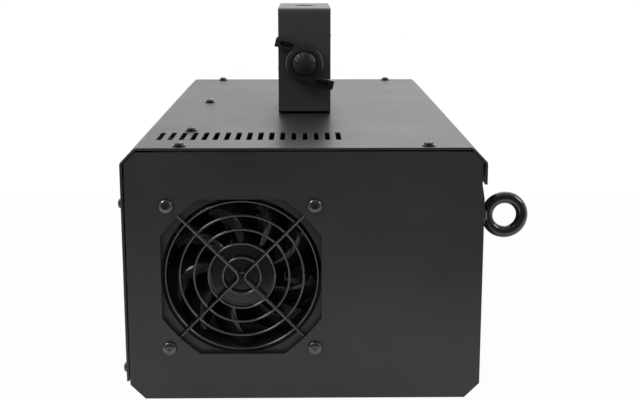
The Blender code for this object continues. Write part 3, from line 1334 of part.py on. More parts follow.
def build_board(face, module_face):
    """Circuit board on four posts, with its push switches and the display module."""
    middle = (face - BOARD_SHEET / 2, PANEL_Y, PANEL_Z)
    board = piece("control_board", block(middle, (BOARD_SHEET, PANEL_LENGTH, PANEL_HEIGHT)), BOARD_GREEN)
    root = face - OVERLAP
    parts = []
    for y, z in button_places():
        parts.append(block(((root + face + TACT_HEIGHT) / 2, y, z),
                           (face + TACT_HEIGHT - root, TACT_SIZE, TACT_SIZE)))
    parts.append(block(((root + module_face) / 2, PANEL_Y, DISPLAY_Z),
                       (module_face - root, DISPLAY_LENGTH + SHEET, DISPLAY_HEIGHT + SHEET)))
    join(board, parts)
    reach_y = PANEL_LENGTH / 2 - POST_INSET
    reach_z = PANEL_HEIGHT / 2 - POST_INSET
    join(board, [rod("X", (PANEL_Y + y * reach_y, PANEL_Z + z * reach_z), POST_RADIUS, root,
                     REAR_INSIDE - TOUCH, 8) for y in (-1, 1) for z in (-1, 1)])


def build_buttons(inner, back):
    """Buttons with a collar behind the panel and a stem that reaches the push switch."""
    tip = PANEL_FACE + BUTTON_PROUD
    collar = back - BUTTON_COLLAR
    for index, (y, z) in enumerate(button_places()):
        origin = (PANEL_FACE, y, z)
        axis = axis_empty("menu_button_%d_axis" % (index + 1), origin)
        profile = [(inner, 0), (inner, BUTTON_STEM), (collar, BUTTON_STEM),
                   (collar, BUTTON_RADIUS + BUTTON_LIP), (back, BUTTON_RADIUS + BUTTON_LIP),
                   (back, BUTTON_RADIUS), (tip - BUTTON_BEVEL, BUTTON_RADIUS),
                   (tip, BUTTON_RADIUS - BUTTON_BEVEL), (tip, 0)]
        piece("menu_button_%d" % (index + 1), turned("X", (y, z), profile, 12), GREY_PLASTIC, axis,
              origin, smooth=True)


def flanged(name, y, z, length, height, body_length, body_height, depth):
    """Housing with a flange outside the control wall and a body that goes in through its hole."""
    flange = block(((PANEL_BACK + BEZEL_FACE) / 2, y, z), (BEZEL_SHEET, length, height))
    item = piece(name, flange, MATT_PLASTIC)
    back = REAR_WALL - depth
    front = PANEL_BACK + BEZEL_SHEET / 2
    join(item, [block(((back + front) / 2, y, z), (front - back, body_length, body_height))])
    return item


def build_switch():
    """Power switch: a bezel with a pocket in which the two-armed rocker tips."""
    pivot_x = BEZEL_FACE - ROCKER_SINK
    body_length = SWITCH_HOLE_LENGTH - 2 * TOUCH
    body_height = SWITCH_HOLE_HEIGHT - 2 * TOUCH
    item = flanged("switch_housing", SWITCH_Y, SWITCH_Z, SWITCH_LENGTH, SWITCH_HEIGHT, body_length,
                   body_height, SWITCH_DEPTH)
    pocket_height = 2 * (math.hypot(ROCKER_REACH, ROCKER_RISE) + ROCKER_PLAY)
    pocket_length = body_length - 2 * SWITCH_WALL
    pocket_back = pivot_x - ROCKER_POCKET
    pocket_front = BEZEL_FACE + BEZEL_SHEET
    cut(item, [block(((pocket_back + pocket_front) / 2, SWITCH_Y, SWITCH_Z),
                     (pocket_front - pocket_back, pocket_length, pocket_height))])
    half = pocket_length / 2 - TOUCH
    origin = (pivot_x, SWITCH_Y, SWITCH_Z)
    axis = axis_empty("switch_rocker_axis", origin)
    outline = [(ROCKER_DIP, 0), (ROCKER_RISE, ROCKER_REACH), (-ROCKER_EDGE, ROCKER_REACH),
               (-ROCKER_DEPTH, ROCKER_FOOT), (-ROCKER_DEPTH, -ROCKER_FOOT),
               (-ROCKER_EDGE, -ROCKER_REACH), (ROCKER_RISE, -ROCKER_REACH)]
    turn = Matrix.Rotation(math.radians(ROCKER_TILT), 2)
    outline = [turn @ Vector(point) for point in outline]
    rocker = extruded("Y", [(pivot_x + point.x, SWITCH_Z + point.y) for point in outline],
                      SWITCH_Y - half, SWITCH_Y + half)
    piece("switch_rocker", rocker, GLOSS_PLASTIC, axis, origin)


def build_inlet():
    """Mains inlet whose housing also has a bay for the fuse drawer."""
    item = flanged("mains_inlet", INLET_Y, INLET_Z, INLET_LENGTH, INLET_HEIGHT,
                   INLET_HOLE_LENGTH - 2 * TOUCH, INLET_HOLE_HEIGHT - 2 * TOUCH, INLET_DEPTH)
    floor = REAR_WALL - INLET_DEPTH + SOCKET_FLOOR
    outside = BEZEL_FACE + BEZEL_SHEET
    left = SOCKET_Y - SOCKET_LENGTH / 2
    right = SOCKET_Y + SOCKET_LENGTH / 2
    low = INLET_Z - SOCKET_HEIGHT / 2
    high = INLET_Z + SOCKET_HEIGHT / 2
    outline = [(left, low), (right, low), (right, high - SOCKET_BEVEL), (right - SOCKET_BEVEL, high),
               (left + SOCKET_BEVEL, high), (left, high - SOCKET_BEVEL)]
    drawer_back = BEZEL_FACE - DRAWER_DEPTH
    bay_size = DRAWER_SIZE + 2 * TOUCH
    bay = block(((drawer_back - TOUCH + outside) / 2, DRAWER_Y, INLET_Z),
                (outside - drawer_back + TOUCH, bay_size, bay_size))
    cut(item, [extruded("X", outline, floor, outside), bay])
    pin_middle = floor + MAINS_PIN_LENGTH / 2 - OVERLAP
    pin_size = (MAINS_PIN_LENGTH, MAINS_PIN_SHEET, MAINS_PIN_WIDTH)
    places = [(-MAINS_PIN_PITCH, -MAINS_PIN_DROP), (0, MAINS_EARTH_RISE), (MAINS_PIN_PITCH, -MAINS_PIN_DROP)]
    join(item, [block((pin_middle, SOCKET_Y + y, INLET_Z + z), pin_size) for y, z in places])
    origin = (BEZEL_FACE, DRAWER_Y, INLET_Z)
    axis = axis_empty("fuse_drawer_axis", origin)
    drawer = block((BEZEL_FACE + (DRAWER_PROUD - DRAWER_DEPTH) / 2, DRAWER_Y, INLET_Z),
                   (DRAWER_DEPTH + DRAWER_PROUD, DRAWER_SIZE, DRAWER_SIZE))
    piece("fuse_drawer", drawer, MATT_PLASTIC, axis, origin)


def build_signal_sockets():
    """Three-pin sockets for the control signal, one in and one out."""
    back = BEZEL_FACE - SIGNAL_DEPTH - SIGNAL_FLOOR
    for name, y in zip(("signal_in_socket", "signal_out_socket"), SIGNAL_Y):
        middle = ((PANEL_BACK + BEZEL_FACE) / 2, y, SIGNAL_Z)
        item = piece(name, block(middle, (BEZEL_SHEET, SIGNAL_LENGTH, SIGNAL_HEIGHT)), MATT_PLASTIC)
        join(item, [rod("X", (y, SIGNAL_Z), SIGNAL_SHELL_RADIUS, back, BEZEL_FACE - OVERLAP, 24)])
        cut(item, [rod("X", (y, SIGNAL_Z), SIGNAL_BORE, BEZEL_FACE - SIGNAL_DEPTH,
                       BEZEL_FACE + BEZEL_SHEET, 24)])
        pins = []
        for turn in (90, 210, 330):
            angle = math.radians(turn)
            place = (y + SIGNAL_PIN_CIRCLE * math.cos(angle), SIGNAL_Z + SIGNAL_PIN_CIRCLE * math.sin(angle))
            pins.append(rod("X", place, SIGNAL_PIN_RADIUS, BEZEL_FACE - SIGNAL_DEPTH - SIGNAL_FLOOR / 2,
                            BEZEL_FACE - PIN_RECESS, 8))
        join(item, pins)


def build_level_window():
    """Clear window through which the fluid's level shows."""
    back = REAR_INSIDE - TOUCH
    flange = block((back - LEVEL_SHEET / 2, LEVEL_Y, LEVEL_Z),
                   (LEVEL_SHEET, LEVEL_LENGTH + 2 * LEVEL_RIM, LEVEL_HEIGHT + 2 * LEVEL_RIM))
    window = piece("level_window", flange, CLEAR_PLASTIC)
    inner = back - LEVEL_SHEET / 2
    face = REAR_WALL + LEVEL_PROUD
    join(window, [block(((inner + face) / 2, LEVEL_Y, LEVEL_Z),
                        (face - inner, LEVEL_LENGTH - 2 * TOUCH, LEVEL_HEIGHT - 2 * TOUCH))])


# ---- the machine ---------------------------------------------------------------------------
for stale in list(bpy.data.objects):
    bpy.data.objects.remove(stale, do_unlink=True)

MACHINE = bpy.data.objects.new("fog_machine", None)
bpy.context.collection.objects.link(MACHINE)
MACHINE.location = -ORIGIN

BLACK_POWDER_COAT = paint("black_powder_coat", (0.030, 0.030, 0.031), 0.45, 0.0)
BLACK_STEEL = paint("blackened_steel", (0.045, 0.045, 0.047), 0.30, 0.9)
GLOSS_METAL = paint("black_gloss_enamel", (0.012, 0.012, 0.013), 0.15, 0.0)
GLOSS_PLASTIC = paint("black_gloss_plastic", (0.014, 0.014, 0.015), 0.20, 0.0)
FAN_PLASTIC = paint("black_glass_filled_plastic", (0.018, 0.018, 0.019), 0.45, 0.0)
MATT_PLASTIC = paint("black_matt_plastic", (0.020, 0.020, 0.021), 0.55, 0.0)
GREY_PLASTIC = paint("grey_button_plastic", (0.35, 0.35, 0.36), 0.45, 0.0)
STEEL = paint("zinc_plated_steel", (0.62, 0.63, 0.65), 0.32, 1.0)
CAST_ALUMINIUM = paint("cast_aluminium", (0.66, 0.67, 0.68), 0.45, 1.0)
ALUMINIUM_SHEET = paint("aluminium_sheet", (0.72, 0.73, 0.74), 0.30, 1.0)
BRASS = paint("brass", (0.72, 0.52, 0.22), 0.28, 1.0)
COPPER = paint("copper_tube", (0.72, 0.42, 0.28), 0.30, 1.0)
RUBBER = paint("black_rubber", (0.016, 0.016, 0.016), 0.80, 0.0)
MINERAL_WOOL = paint("mineral_wool", (0.72, 0.66, 0.50), 0.95, 0.0)
TANK_PLASTIC = paint("natural_polyethylene", (0.78, 0.80, 0.78), 0.45, 0.0)
CLEAR_PLASTIC = paint("clear_plastic", (0.80, 0.84, 0.84), 0.15, 0.0)
GLASS = paint("smoked_window", (0.04, 0.06, 0.06), 0.08, 0.0)
BOARD_GREEN = paint("circuit_board", (0.02, 0.16, 0.07), 0.40, 0.0)

build_cover()
build_chassis()
build_end_panels()
build_screws()
build_feet()
build_fan()
build_bracket()
build_eye_bolt()
build_heater()
build_pump()
build_tank()
build_door()
build_control_panel()
build_switch()
build_inlet()
build_signal_sockets()
build_level_window()
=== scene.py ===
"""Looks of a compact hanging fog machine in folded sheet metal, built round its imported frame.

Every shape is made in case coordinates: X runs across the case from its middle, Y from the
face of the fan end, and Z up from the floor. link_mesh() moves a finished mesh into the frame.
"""

import math

import bmesh
import bpy
from mathutils import Matrix, Vector, noise


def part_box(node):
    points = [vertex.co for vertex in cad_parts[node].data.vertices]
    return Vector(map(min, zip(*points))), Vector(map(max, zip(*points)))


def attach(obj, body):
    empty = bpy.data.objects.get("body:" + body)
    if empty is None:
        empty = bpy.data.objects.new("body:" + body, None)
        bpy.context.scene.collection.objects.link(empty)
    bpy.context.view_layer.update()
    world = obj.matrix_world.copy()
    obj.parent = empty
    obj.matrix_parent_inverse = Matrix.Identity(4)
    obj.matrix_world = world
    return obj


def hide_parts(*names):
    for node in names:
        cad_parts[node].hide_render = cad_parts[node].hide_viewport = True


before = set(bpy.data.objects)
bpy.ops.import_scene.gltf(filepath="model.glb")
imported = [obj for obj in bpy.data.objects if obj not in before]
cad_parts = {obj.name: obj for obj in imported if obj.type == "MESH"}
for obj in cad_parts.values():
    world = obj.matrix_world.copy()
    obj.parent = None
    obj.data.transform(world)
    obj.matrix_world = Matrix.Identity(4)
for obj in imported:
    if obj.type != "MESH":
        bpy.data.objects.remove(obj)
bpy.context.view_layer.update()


# ==== Camera, light and floor =================================================================
# The camera stands where the photograph was taken from: level with the bracket, looking a
# little down at the fan end. The machine stands on pale paper in a white cove, whose open side,
# behind the camera, is darker in reflections.
def linear(colour):
    """Linear RGBA of an sRGB hex value."""
    channels = [int(colour[start:start + 2], 16) / 255 for start in (1, 3, 5)]
    return (*[value / 12.92 if value <= 0.04045 else ((value + 0.055) / 1.055) ** 2.4
              for value in channels], 1)


def add(tree, kind, settings=None, links=None):
    """Add a shader node with its properties, socket values and incoming links."""
    node = tree.nodes.new(kind)
    for name, value in (settings or {}).items():
        if isinstance(name, int) or name in node.inputs:
            node.inputs[name].default_value = value
        else:
            setattr(node, name, value)
    for name, source in (links or {}).items():
        tree.links.new(source, node.inputs[name])
    return node


CAMERA_PLACE = (-0.0011, -0.6951, 0.2196)
CAMERA_TILT = math.radians(78.04)
CAMERA_TURN = math.radians(-0.77)
CAMERA_LENS = 63.9
camera = bpy.data.objects.new("camera", bpy.data.cameras.new("camera"))
camera.data.lens = CAMERA_LENS
camera.data.sensor_width = 36
camera.location = CAMERA_PLACE
camera.rotation_euler = (CAMERA_TILT, 0, CAMERA_TURN)
bpy.context.scene.collection.objects.link(camera)
bpy.context.scene.camera = camera
bpy.context.scene.view_settings.view_transform = "Standard"

STUDIO_FILL = 0.62
ROOM_GLOW = 0.13
studio = bpy.data.worlds.new("studio")
studio.use_nodes = True
bpy.context.scene.world = studio
tree = studio.node_tree
tree.nodes.clear()
ray = add(tree, "ShaderNodeLightPath")
seen = add(tree, "ShaderNodeMath", {"operation": "MAXIMUM"},
           {0: ray.outputs["Is Camera Ray"], 1: ray.outputs["Is Transmission Ray"]})
direction = add(tree, "ShaderNodeSeparateXYZ", None,
                {0: add(tree, "ShaderNodeTexCoord").outputs["Generated"]})
cove = add(tree, "ShaderNodeMapRange", {"From Min": -0.75, "From Max": 0.15, "To Min": ROOM_GLOW},
           {"Value": direction.outputs["Y"]})
fill = add(tree, "ShaderNodeBackground", {"Color": linear("#FFFFFF"), "Strength": STUDIO_FILL})
mirrored = add(tree, "ShaderNodeBackground", {"Color": linear("#FFFFFF")},
               {"Strength": cove.outputs[0]})
white = add(tree, "ShaderNodeBackground", {"Color": linear("#FFFFFF"), "Strength": 1.0})
glossy = add(tree, "ShaderNodeMixShader", None,
             {0: ray.outputs["Is Glossy Ray"], 1: fill.outputs[0], 2: mirrored.outputs[0]})
both = add(tree, "ShaderNodeMixShader", None,
           {0: seen.outputs[0], 1: glossy.outputs[0], 2: white.outputs[0]})
add(tree, "ShaderNodeOutputWorld", None, {"Surface": both.outputs[0]})

SOFTBOXES = {"key_softbox": ((-0.9, -0.7, 1.1), 0.55, 7.0),
             "fill_softbox": ((1.1, -0.5, 0.8), 0.6, 4.0),
             "back_softbox": ((0.2, 1.3, 1.2), 1.0, 4.0)}
LIGHT_AIM = Vector((0, 0, 0.07))
for name, (place, size, power) in SOFTBOXES.items():
    lamp = bpy.data.lights.new(name, "AREA")
    lamp.shape = "DISK"
    lamp.size = size
    lamp.energy = power
    holder = bpy.data.objects.new(name, lamp)
    holder.location = place
    holder.rotation_euler = (LIGHT_AIM - Vector(place)).to_track_quat("-Z", "Y").to_euler()
    bpy.context.scene.collection.objects.link(holder)

FLOOR_REACH = 0.36
FLOOR_WHITE = 0.96
paper = bpy.data.materials.new("pale_paper_sweep")
paper.use_nodes = True
tree = paper.node_tree
tree.nodes.clear()
ray = add(tree, "ShaderNodeLightPath")
share = add(tree, "ShaderNodeMath", {"operation": "MULTIPLY", 1: FLOOR_WHITE},
            {0: ray.outputs["Is Camera Ray"]})
matt = add(tree, "ShaderNodeBsdfDiffuse", {"Color": linear("#F4F4F4")})
glow = add(tree, "ShaderNodeEmission", {"Color": linear("#FFFFFF"), "Strength": 1.0})
both = add(tree, "ShaderNodeMixShader", None,
           {0: share.outputs[0], 1: matt.outputs[0], 2: glow.outputs[0]})
add(tree, "ShaderNodeOutputMaterial", None, {"Surface": both.outputs[0]})
sweep = bmesh.new()
bmesh.ops.create_grid(sweep, x_segments=1, y_segments=1, size=FLOOR_REACH)
floor = bpy.data.objects.new("floor", bpy.data.meshes.new("floor"))
sweep.to_mesh(floor.data)
sweep.free()
floor.data.materials.append(paper)
bpy.context.scene.collection.objects.link(floor)


# ==== Chassis ================================================================================
# The tray that carries everything: floor and control side in one folded 1.2 mm steel sheet,
# cut by laser, folded on a press brake and powder coated black with the cover.
MIX_A, MIX_B, MIX_OUT = 6, 7, 2
MILLIMETRE = 0.001


def finish(name, colour, shade, grain, cloud, roughness, spread, relief, metallic=0.0,
           stretch=(1, 1, 1), **sockets):
    """Material whose colour, gloss and relief follow a fine grain and a broad cloud, in mm."""
    material = bpy.data.materials.new(name)
    material.use_nodes = True
    tree = material.node_tree
    shader = tree.nodes["Principled BSDF"]
    place = add(tree, "ShaderNodeTexCoord")
    laid = add(tree, "ShaderNodeMapping", {"Scale": stretch}, {"Vector": place.outputs["Object"]})
    fine = add(tree, "ShaderNodeTexNoise",
               {"Scale": 1 / (grain * MILLIMETRE), "Detail": 2.0, "Roughness": 0.6},
               {"Vector": laid.outputs[0]})
    broad = add(tree, "ShaderNodeTexNoise",
                {"Scale": 1 / (cloud * MILLIMETRE), "Detail": 3.0, "Roughness": 0.55},
                {"Vector": place.outputs["Object"]})
    blend = add(tree, "ShaderNodeMath", {"operation": "MULTIPLY_ADD", 1: 0.5},
                {0: fine.outputs["Fac"], 2: broad.outputs["Fac"]})
    share = add(tree, "ShaderNodeMapRange", {"From Min": 0.5, "From Max": 1.0},
                {"Value": blend.outputs[0]})
    tint = add(tree, "ShaderNodeMix", {"data_type": "RGBA", MIX_A: linear(colour),
                                       MIX_B: linear(shade)}, {0: share.outputs[0]})
    gloss = add(tree, "ShaderNodeMapRange", {"From Min": 0.3, "From Max": 0.7,
                                             "To Min": roughness - spread,
                                             "To Max": roughness + spread},
                {"Value": broad.outputs["Fac"]})
    bump = add(tree, "ShaderNodeBump", {"Strength": 1.0, "Distance": relief * MILLIMETRE},
               {"Height": fine.outputs["Fac"]})
    tree.links.new(tint.outputs[MIX_OUT], shader.inputs["Base Color"])
    tree.links.new(gloss.outputs[0], shader.inputs["Roughness"])
    tree.links.new(bump.outputs[0], shader.inputs["Normal"])
    shader.inputs["Metallic"].default_value = metallic
    for socket, value in sockets.items():
        shader.inputs[socket.replace("_", " ")].default_value = value
    return material


cover_low, cover_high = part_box("top_cover")
CASE_ORIGIN = Vector(((cover_low.x + cover_high.x) / 2, cover_low.y, 0))


def reach(node):
    """Lowest and highest corner of a CAD node in case coordinates."""
    low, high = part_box(node)
    return low - CASE_ORIGIN, high - CASE_ORIGIN


def spot(node):
    """Middle of a CAD node in case coordinates."""
    low, high = reach(node)
    return (low + high) / 2


def standing(axis, along, across):
    """Point from its distance along an axis and its two coordinates across it."""
    first, second = across
    return Vector({"X": (along, first, second), "Y": (first, along, second),
                   "Z": (first, second, along)}[axis])


def outward(mesh):
    """Merge what a spin or an extrusion left double, and turn every face outwards."""
    bmesh.ops.remove_doubles(mesh, verts=mesh.verts, dist=0.000002)
    bmesh.ops.recalc_face_normals(mesh, faces=mesh.faces)
    return mesh


def slab(low, high, round_edges=0.0, segments=2):
    """Block between two corners, with its edges rounded."""
    mesh = bmesh.new()
    bmesh.ops.create_cube(mesh, size=1)
    low, high = Vector(low), Vector(high)
    bmesh.ops.scale(mesh, vec=high - low, verts=mesh.verts)
    bmesh.ops.translate(mesh, vec=(high + low) / 2, verts=mesh.verts)
    if round_edges:
        bmesh.ops.bevel(mesh, geom=mesh.edges, offset=round_edges, segments=segments,
                        affect="EDGES", profile=0.5, material=-1)
    return outward(mesh)


def bar(axis, centre, radius, start, end, sides=32):
    """Round bar along an axis."""
    mesh = bmesh.new()
    bmesh.ops.create_cone(mesh, cap_ends=True, segments=sides, radius1=radius, radius2=radius,
                          depth=abs(end - start))
    turn = {"X": Matrix.Rotation(math.pi / 2, 3, "Y"), "Y": Matrix.Rotation(math.pi / 2, 3, "X"),
            "Z": Matrix.Identity(3)}[axis]
    bmesh.ops.rotate(mesh, cent=(0, 0, 0), matrix=turn, verts=mesh.verts)
    bmesh.ops.translate(mesh, vec=standing(axis, (start + end) / 2, centre), verts=mesh.verts)
    return outward(mesh)


def prism(axis, outline, start, end):
    """Outline extruded along an axis."""
    mesh = bmesh.new()
    face = mesh.faces.new([mesh.verts.new(standing(axis, start, point)) for point in outline])
    grown = bmesh.ops.extrude_face_region(mesh, geom=[face])["geom"]
    moved = [item for item in grown if isinstance(item, bmesh.types.BMVert)]
    bmesh.ops.translate(mesh, vec=standing(axis, end - start, (0, 0)), verts=moved)
    return outward(mesh)


def link_mesh(name, mesh):
    """Object from a mesh in case coordinates, moved into the frame."""
    bmesh.ops.translate(mesh, vec=CASE_ORIGIN, verts=mesh.verts)
    item = bpy.data.objects.new(name, bpy.data.meshes.new(name))
    mesh.to_mesh(item.data)
    mesh.free()
    bpy.context.scene.collection.objects.link(item)
    return item


def baked(item):
    """Put a piece's modifiers into its mesh."""
    ready = item.evaluated_get(bpy.context.evaluated_depsgraph_get())
    old = item.data
    item.data = bpy.data.meshes.new_from_object(ready)
    item.modifiers.clear()
    bpy.data.meshes.remove(old)
    return item


def gathered(meshes):
    """Several shapes in one mesh."""
    whole = bmesh.new()
    for mesh in meshes:
        part = bpy.data.meshes.new("part")
        mesh.to_mesh(part)
        mesh.free()
        whole.from_mesh(part)
        bpy.data.meshes.remove(part)
    return whole


def carve(item, meshes, operation="DIFFERENCE"):
    """Cut shapes out of a piece, or weld them to it."""
    tool = link_mesh("tool", gathered(meshes))
    change = item.modifiers.new("carve", "BOOLEAN")
    change.operation = operation
    change.object = tool
    baked(item)
    bpy.data.objects.remove(tool)
    return item


def plant(item, material, body="root", replaces=(), edge=0.0, smooth=35):
    """Give a piece its finish and fine edges, and let it ride on its body."""
    item.data.materials.clear()
    item.data.materials.append(material)
    item.data.shade_smooth()
    item.data.set_sharp_from_angle(angle=math.radians(smooth))
    if edge:
        bevel = item.modifiers.new("edges", "BEVEL")
        bevel.width = edge
        bevel.segments = 2
        bevel.limit_method = "ANGLE"
        bevel.angle_limit = math.radians(smooth)
        bevel.harden_normals = True
    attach(item, body)
    if replaces:
        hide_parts(*replaces)
    return item


def fold(name, axis, corners, thickness, bend, start, end):
    """Folded sheet: corners lie on its outer face, and the thickness lies on their left."""
    mesh = bmesh.new()
    line = [mesh.verts.new(standing(axis, start, corner)) for corner in corners]
    edges = [mesh.edges.new(pair) for pair in zip(line, line[1:])]
    grown = bmesh.ops.extrude_edge_only(mesh, edges=edges)["geom"]
    moved = [part for part in grown if isinstance(part, bmesh.types.BMVert)]
    bmesh.ops.translate(mesh, vec=standing(axis, end - start, (0, 0)), verts=moved)
    bmesh.ops.recalc_face_normals(mesh, faces=mesh.faces)
    run = Vector(corners[1]) - Vector(corners[0])
    left = standing(axis, 0, (-run.y, run.x))
    first_wall = min(mesh.faces, key=lambda face: (face.calc_center_median()
                     - standing(axis, (start + end) / 2,
                                (Vector(corners[0]) + Vector(corners[1])) / 2)).length)
    grows_left = first_wall.normal.dot(left) > 0
    folds = [edge for edge in mesh.edges if len(edge.link_faces) == 2]
    bmesh.ops.bevel(mesh, geom=folds, offset=bend, segments=5, affect="EDGES", profile=0.5,
                    material=-1)
    item = link_mesh(name, mesh)
    wall = item.modifiers.new("sheet", "SOLIDIFY")
    wall.thickness = abs(thickness)
    wall.offset = 1 if grows_left == (thickness > 0) else -1
    wall.use_even_offset = True
    return baked(item)


# Polyester powder coat, sprayed and baked: black, satin, with a fine orange peel.
powder_coat = finish("satin_black_powder_coat", "#232325", "#2C2C2E", 0.55, 60, 0.36, 0.03, 0.035,
                     Specular_IOR_Level=0.5)

SHEET = 0.0012
SHEET_FIT = 0.0004
CHAMFER = 0.0074
BEND = 0.0009
FINE_EDGE = 0.0002
LIP_INSET = 0.0024
LIP_DROP = 0.0181
SHOULDER = 0.007
chassis_low, chassis_high = reach("chassis")
HALF = (cover_high.x - cover_low.x) / 2
LENGTH = cover_high.y - cover_low.y
ROOF = cover_high.z
BASE = chassis_low.z
LEFT_WALL = chassis_low.x
REAR_WALL = chassis_high.x
UNDER_LIP = HALF - LIP_INSET
LIP_END = ROOF - LIP_DROP
TURN_UP = 0.0026
tray_path = [(LEFT_WALL, BASE + CHAMFER + TURN_UP), (LEFT_WALL, BASE + CHAMFER),
             (LEFT_WALL + CHAMFER, BASE), (REAR_WALL - CHAMFER, BASE),
             (REAR_WALL, BASE + CHAMFER), (REAR_WALL, LIP_END - SHOULDER),
             (UNDER_LIP, LIP_END), (UNDER_LIP, chassis_high.z)]
chassis = fold("chassis_tray", "Y", tray_path, SHEET, BEND, chassis_low.y, chassis_high.y)
WINDOW_MARGINS = {"control_panel": (0.004, 0.004), "switch_housing": (0.002, 0.0015),
                  "mains_inlet": (0.003, 0.003), "level_window": (0.003, 0.003)}
SIGNAL_HOLE = 0.0118
EYE_HOLE = 0.0042
holes = []
for node, (side, rise) in WINDOW_MARGINS.items():
    low, high = reach(node)
    holes.append(slab((REAR_WALL - 2 * SHEET, low.y + side, low.z + rise),
                      (REAR_WALL + SHEET, high.y - side, high.z - rise)))
for node, radius in (("signal_in_socket", SIGNAL_HOLE), ("signal_out_socket", SIGNAL_HOLE)):
    holes.append(bar("X", spot(node).yz, radius, REAR_WALL - 2 * SHEET, REAR_WALL + SHEET))
holes.append(bar("X", spot("eye_bolt").yz, EYE_HOLE, REAR_WALL - 2 * SHEET, REAR_WALL + SHEET))
carve(chassis, holes)
plant(chassis, powder_coat, replaces=["chassis"], edge=FINE_EDGE)


# ==== End panels =============================================================================
# Flat plates that close both ends. Each has a flange under the roof and one behind the left
# wall for the cover's screws. The fan end has the square opening with cut corners, and the far
# end has the outlet slots and the hatch for the tank.
END_GAP = 0.0009


def end_outline():
    """Edge of an end panel: inside the cover, with an open joint beside the chamfers."""
    inset = SHEET + END_GAP
    drop = (SHEET + SHEET_FIT) * math.sqrt(2) - inset
    lip = LIP_INSET - inset
    return [(LEFT_WALL, BASE + CHAMFER), (LEFT_WALL + CHAMFER, BASE),
            (REAR_WALL - CHAMFER, BASE), (REAR_WALL, BASE + CHAMFER),
            (REAR_WALL, LIP_END - SHOULDER), (UNDER_LIP, LIP_END),
            (UNDER_LIP, ROOF - CHAMFER - drop + lip), (HALF - CHAMFER - drop, ROOF - inset),
            (-HALF + CHAMFER + drop, ROOF - inset), (-HALF + inset, ROOF - CHAMFER - drop)]


FLANGE_DEPTH = 0.018
FLANGE_SIDE = 0.070
FLANGE_CLEAR = 0.003
FLANGE_RISE = 0.112
FLANGE_TOP = ROOF - SHEET - SHEET_FIT
FLANGE_LOW = BASE + CHAMFER + FLANGE_CLEAR
FLANGE_HIGH = BASE + FLANGE_RISE
FLUSH = 0.0001


def end_plate(name, face, inward):
    """Plate with its two flanges; inward is the direction into the case."""
    plate = link_mesh(name, prism("Y", end_outline(), face, face + inward * SHEET))
    root = face + inward * SHEET / 2
    tip = face + inward * FLANGE_DEPTH
    near, far = min(root, tip), max(root, tip)
    flanges = [slab((-FLANGE_SIDE, near, FLANGE_TOP - SHEET),
                    (FLANGE_SIDE, far, FLANGE_TOP - FLUSH)),
               slab((LEFT_WALL + FLUSH, near, FLANGE_LOW),
                    (LEFT_WALL + SHEET, far, FLANGE_HIGH))]
    return carve(plate, flanges, "UNION")


FAN_MIDDLE = spot("fan_frame")
OPENING = 0.078
OPENING_FLAT = 0.0414
OPENING_BULGE = 0.001
ARC_STEPS = 8
FAN_SCREWS = ["fan_screw_%d" % number for number in (1, 2, 3, 4)]


def fan_opening():
    """Square opening whose corners are cut off by shallow arcs."""
    points = []
    for quarter in range(4):
        turn = Matrix.Rotation(math.pi / 2 * quarter, 2)
        start = Vector((OPENING / 2, OPENING_FLAT / 2))
        end = Vector((OPENING_FLAT / 2, OPENING / 2))
        for step in range(ARC_STEPS + 1):
            share = step / ARC_STEPS
            bulge = Vector((1, 1)).normalized() * OPENING_BULGE * 4 * share * (1 - share)
            points.append(turn @ (start.lerp(end, share) + bulge) + FAN_MIDDLE.xz)
    return points


fan_panel = end_plate("fan_end_plate", 0, 1)
holes = [prism("Y", fan_opening(), -SHEET, 2 * SHEET)]
FAN_SCREW_HOLE = 0.0022
for node in FAN_SCREWS:
    holes.append(bar("Y", spot(node).xz, FAN_SCREW_HOLE, -SHEET, 2 * SHEET, 20))
carve(fan_panel, holes)
plant(fan_panel, powder_coat, replaces=["fan_end_panel"], edge=FINE_EDGE)

far_panel = end_plate("far_end_plate", LENGTH, -1)
HATCH_EDGE = 0.003
HATCH_SILL = 0.0008
HATCH_PLAY = 0.002
OUTLET_SLOTS = 6
OUTLET_RISE = 0.0327
OUTLET_PITCH = 0.0084
OUTLET_HALF = 0.022
OUTLET_HEIGHT = 0.0025
hinge_low, hinge_high = reach("door_hinge")
tank_low, tank_high = reach("tank")
near, far = LENGTH - 2 * SHEET, LENGTH + SHEET
holes = [slab((tank_low.x - HATCH_PLAY, near, hinge_low.z + HATCH_SILL),
              (tank_high.x + HATCH_PLAY, far, hinge_high.z - HATCH_EDGE))]
for number in range(OUTLET_SLOTS):
    z = BASE + OUTLET_RISE + number * OUTLET_PITCH
    holes.append(slab((FAN_MIDDLE.x - OUTLET_HALF, near, z - OUTLET_HEIGHT / 2),
                      (FAN_MIDDLE.x + OUTLET_HALF, far, z + OUTLET_HEIGHT / 2)))
carve(far_panel, holes)
plant(far_panel, powder_coat, replaces=["far_end_panel"], edge=FINE_EDGE)


# ==== Rubber feet ============================================================================
# Self-adhesive bumpers under the floor, moulded in black rubber and dished below, so that
# they grip a table when the machine isn't hanging.
def lathe(axis, centre, profile, steps=48):
    """Solid of revolution; profile points are (distance along the axis, radius)."""
    mesh = bmesh.new()
    points = [mesh.verts.new((radius, 0, along)) for along, radius in profile]
    edges = [mesh.edges.new(pair) for pair in zip(points, points[1:])]
    if profile[0][1] > 0:
        edges.append(mesh.edges.new((points[-1], points[0])))
    bmesh.ops.spin(mesh, geom=points + edges, cent=(0, 0, 0), axis=(0, 0, 1), angle=math.tau,
                   steps=steps, use_merge=True)
    turn = {"X": Matrix(((0, 0, 1), (1, 0, 0), (0, 1, 0))),
            "Y": Matrix(((1, 0, 0), (0, 0, 1), (0, -1, 0))), "Z": Matrix.Identity(3)}[axis]
    bmesh.ops.rotate(mesh, cent=(0, 0, 0), matrix=turn, verts=mesh.verts)
    bmesh.ops.translate(mesh, vec=standing(axis, 0, centre), verts=mesh.verts)
    return outward(mesh)


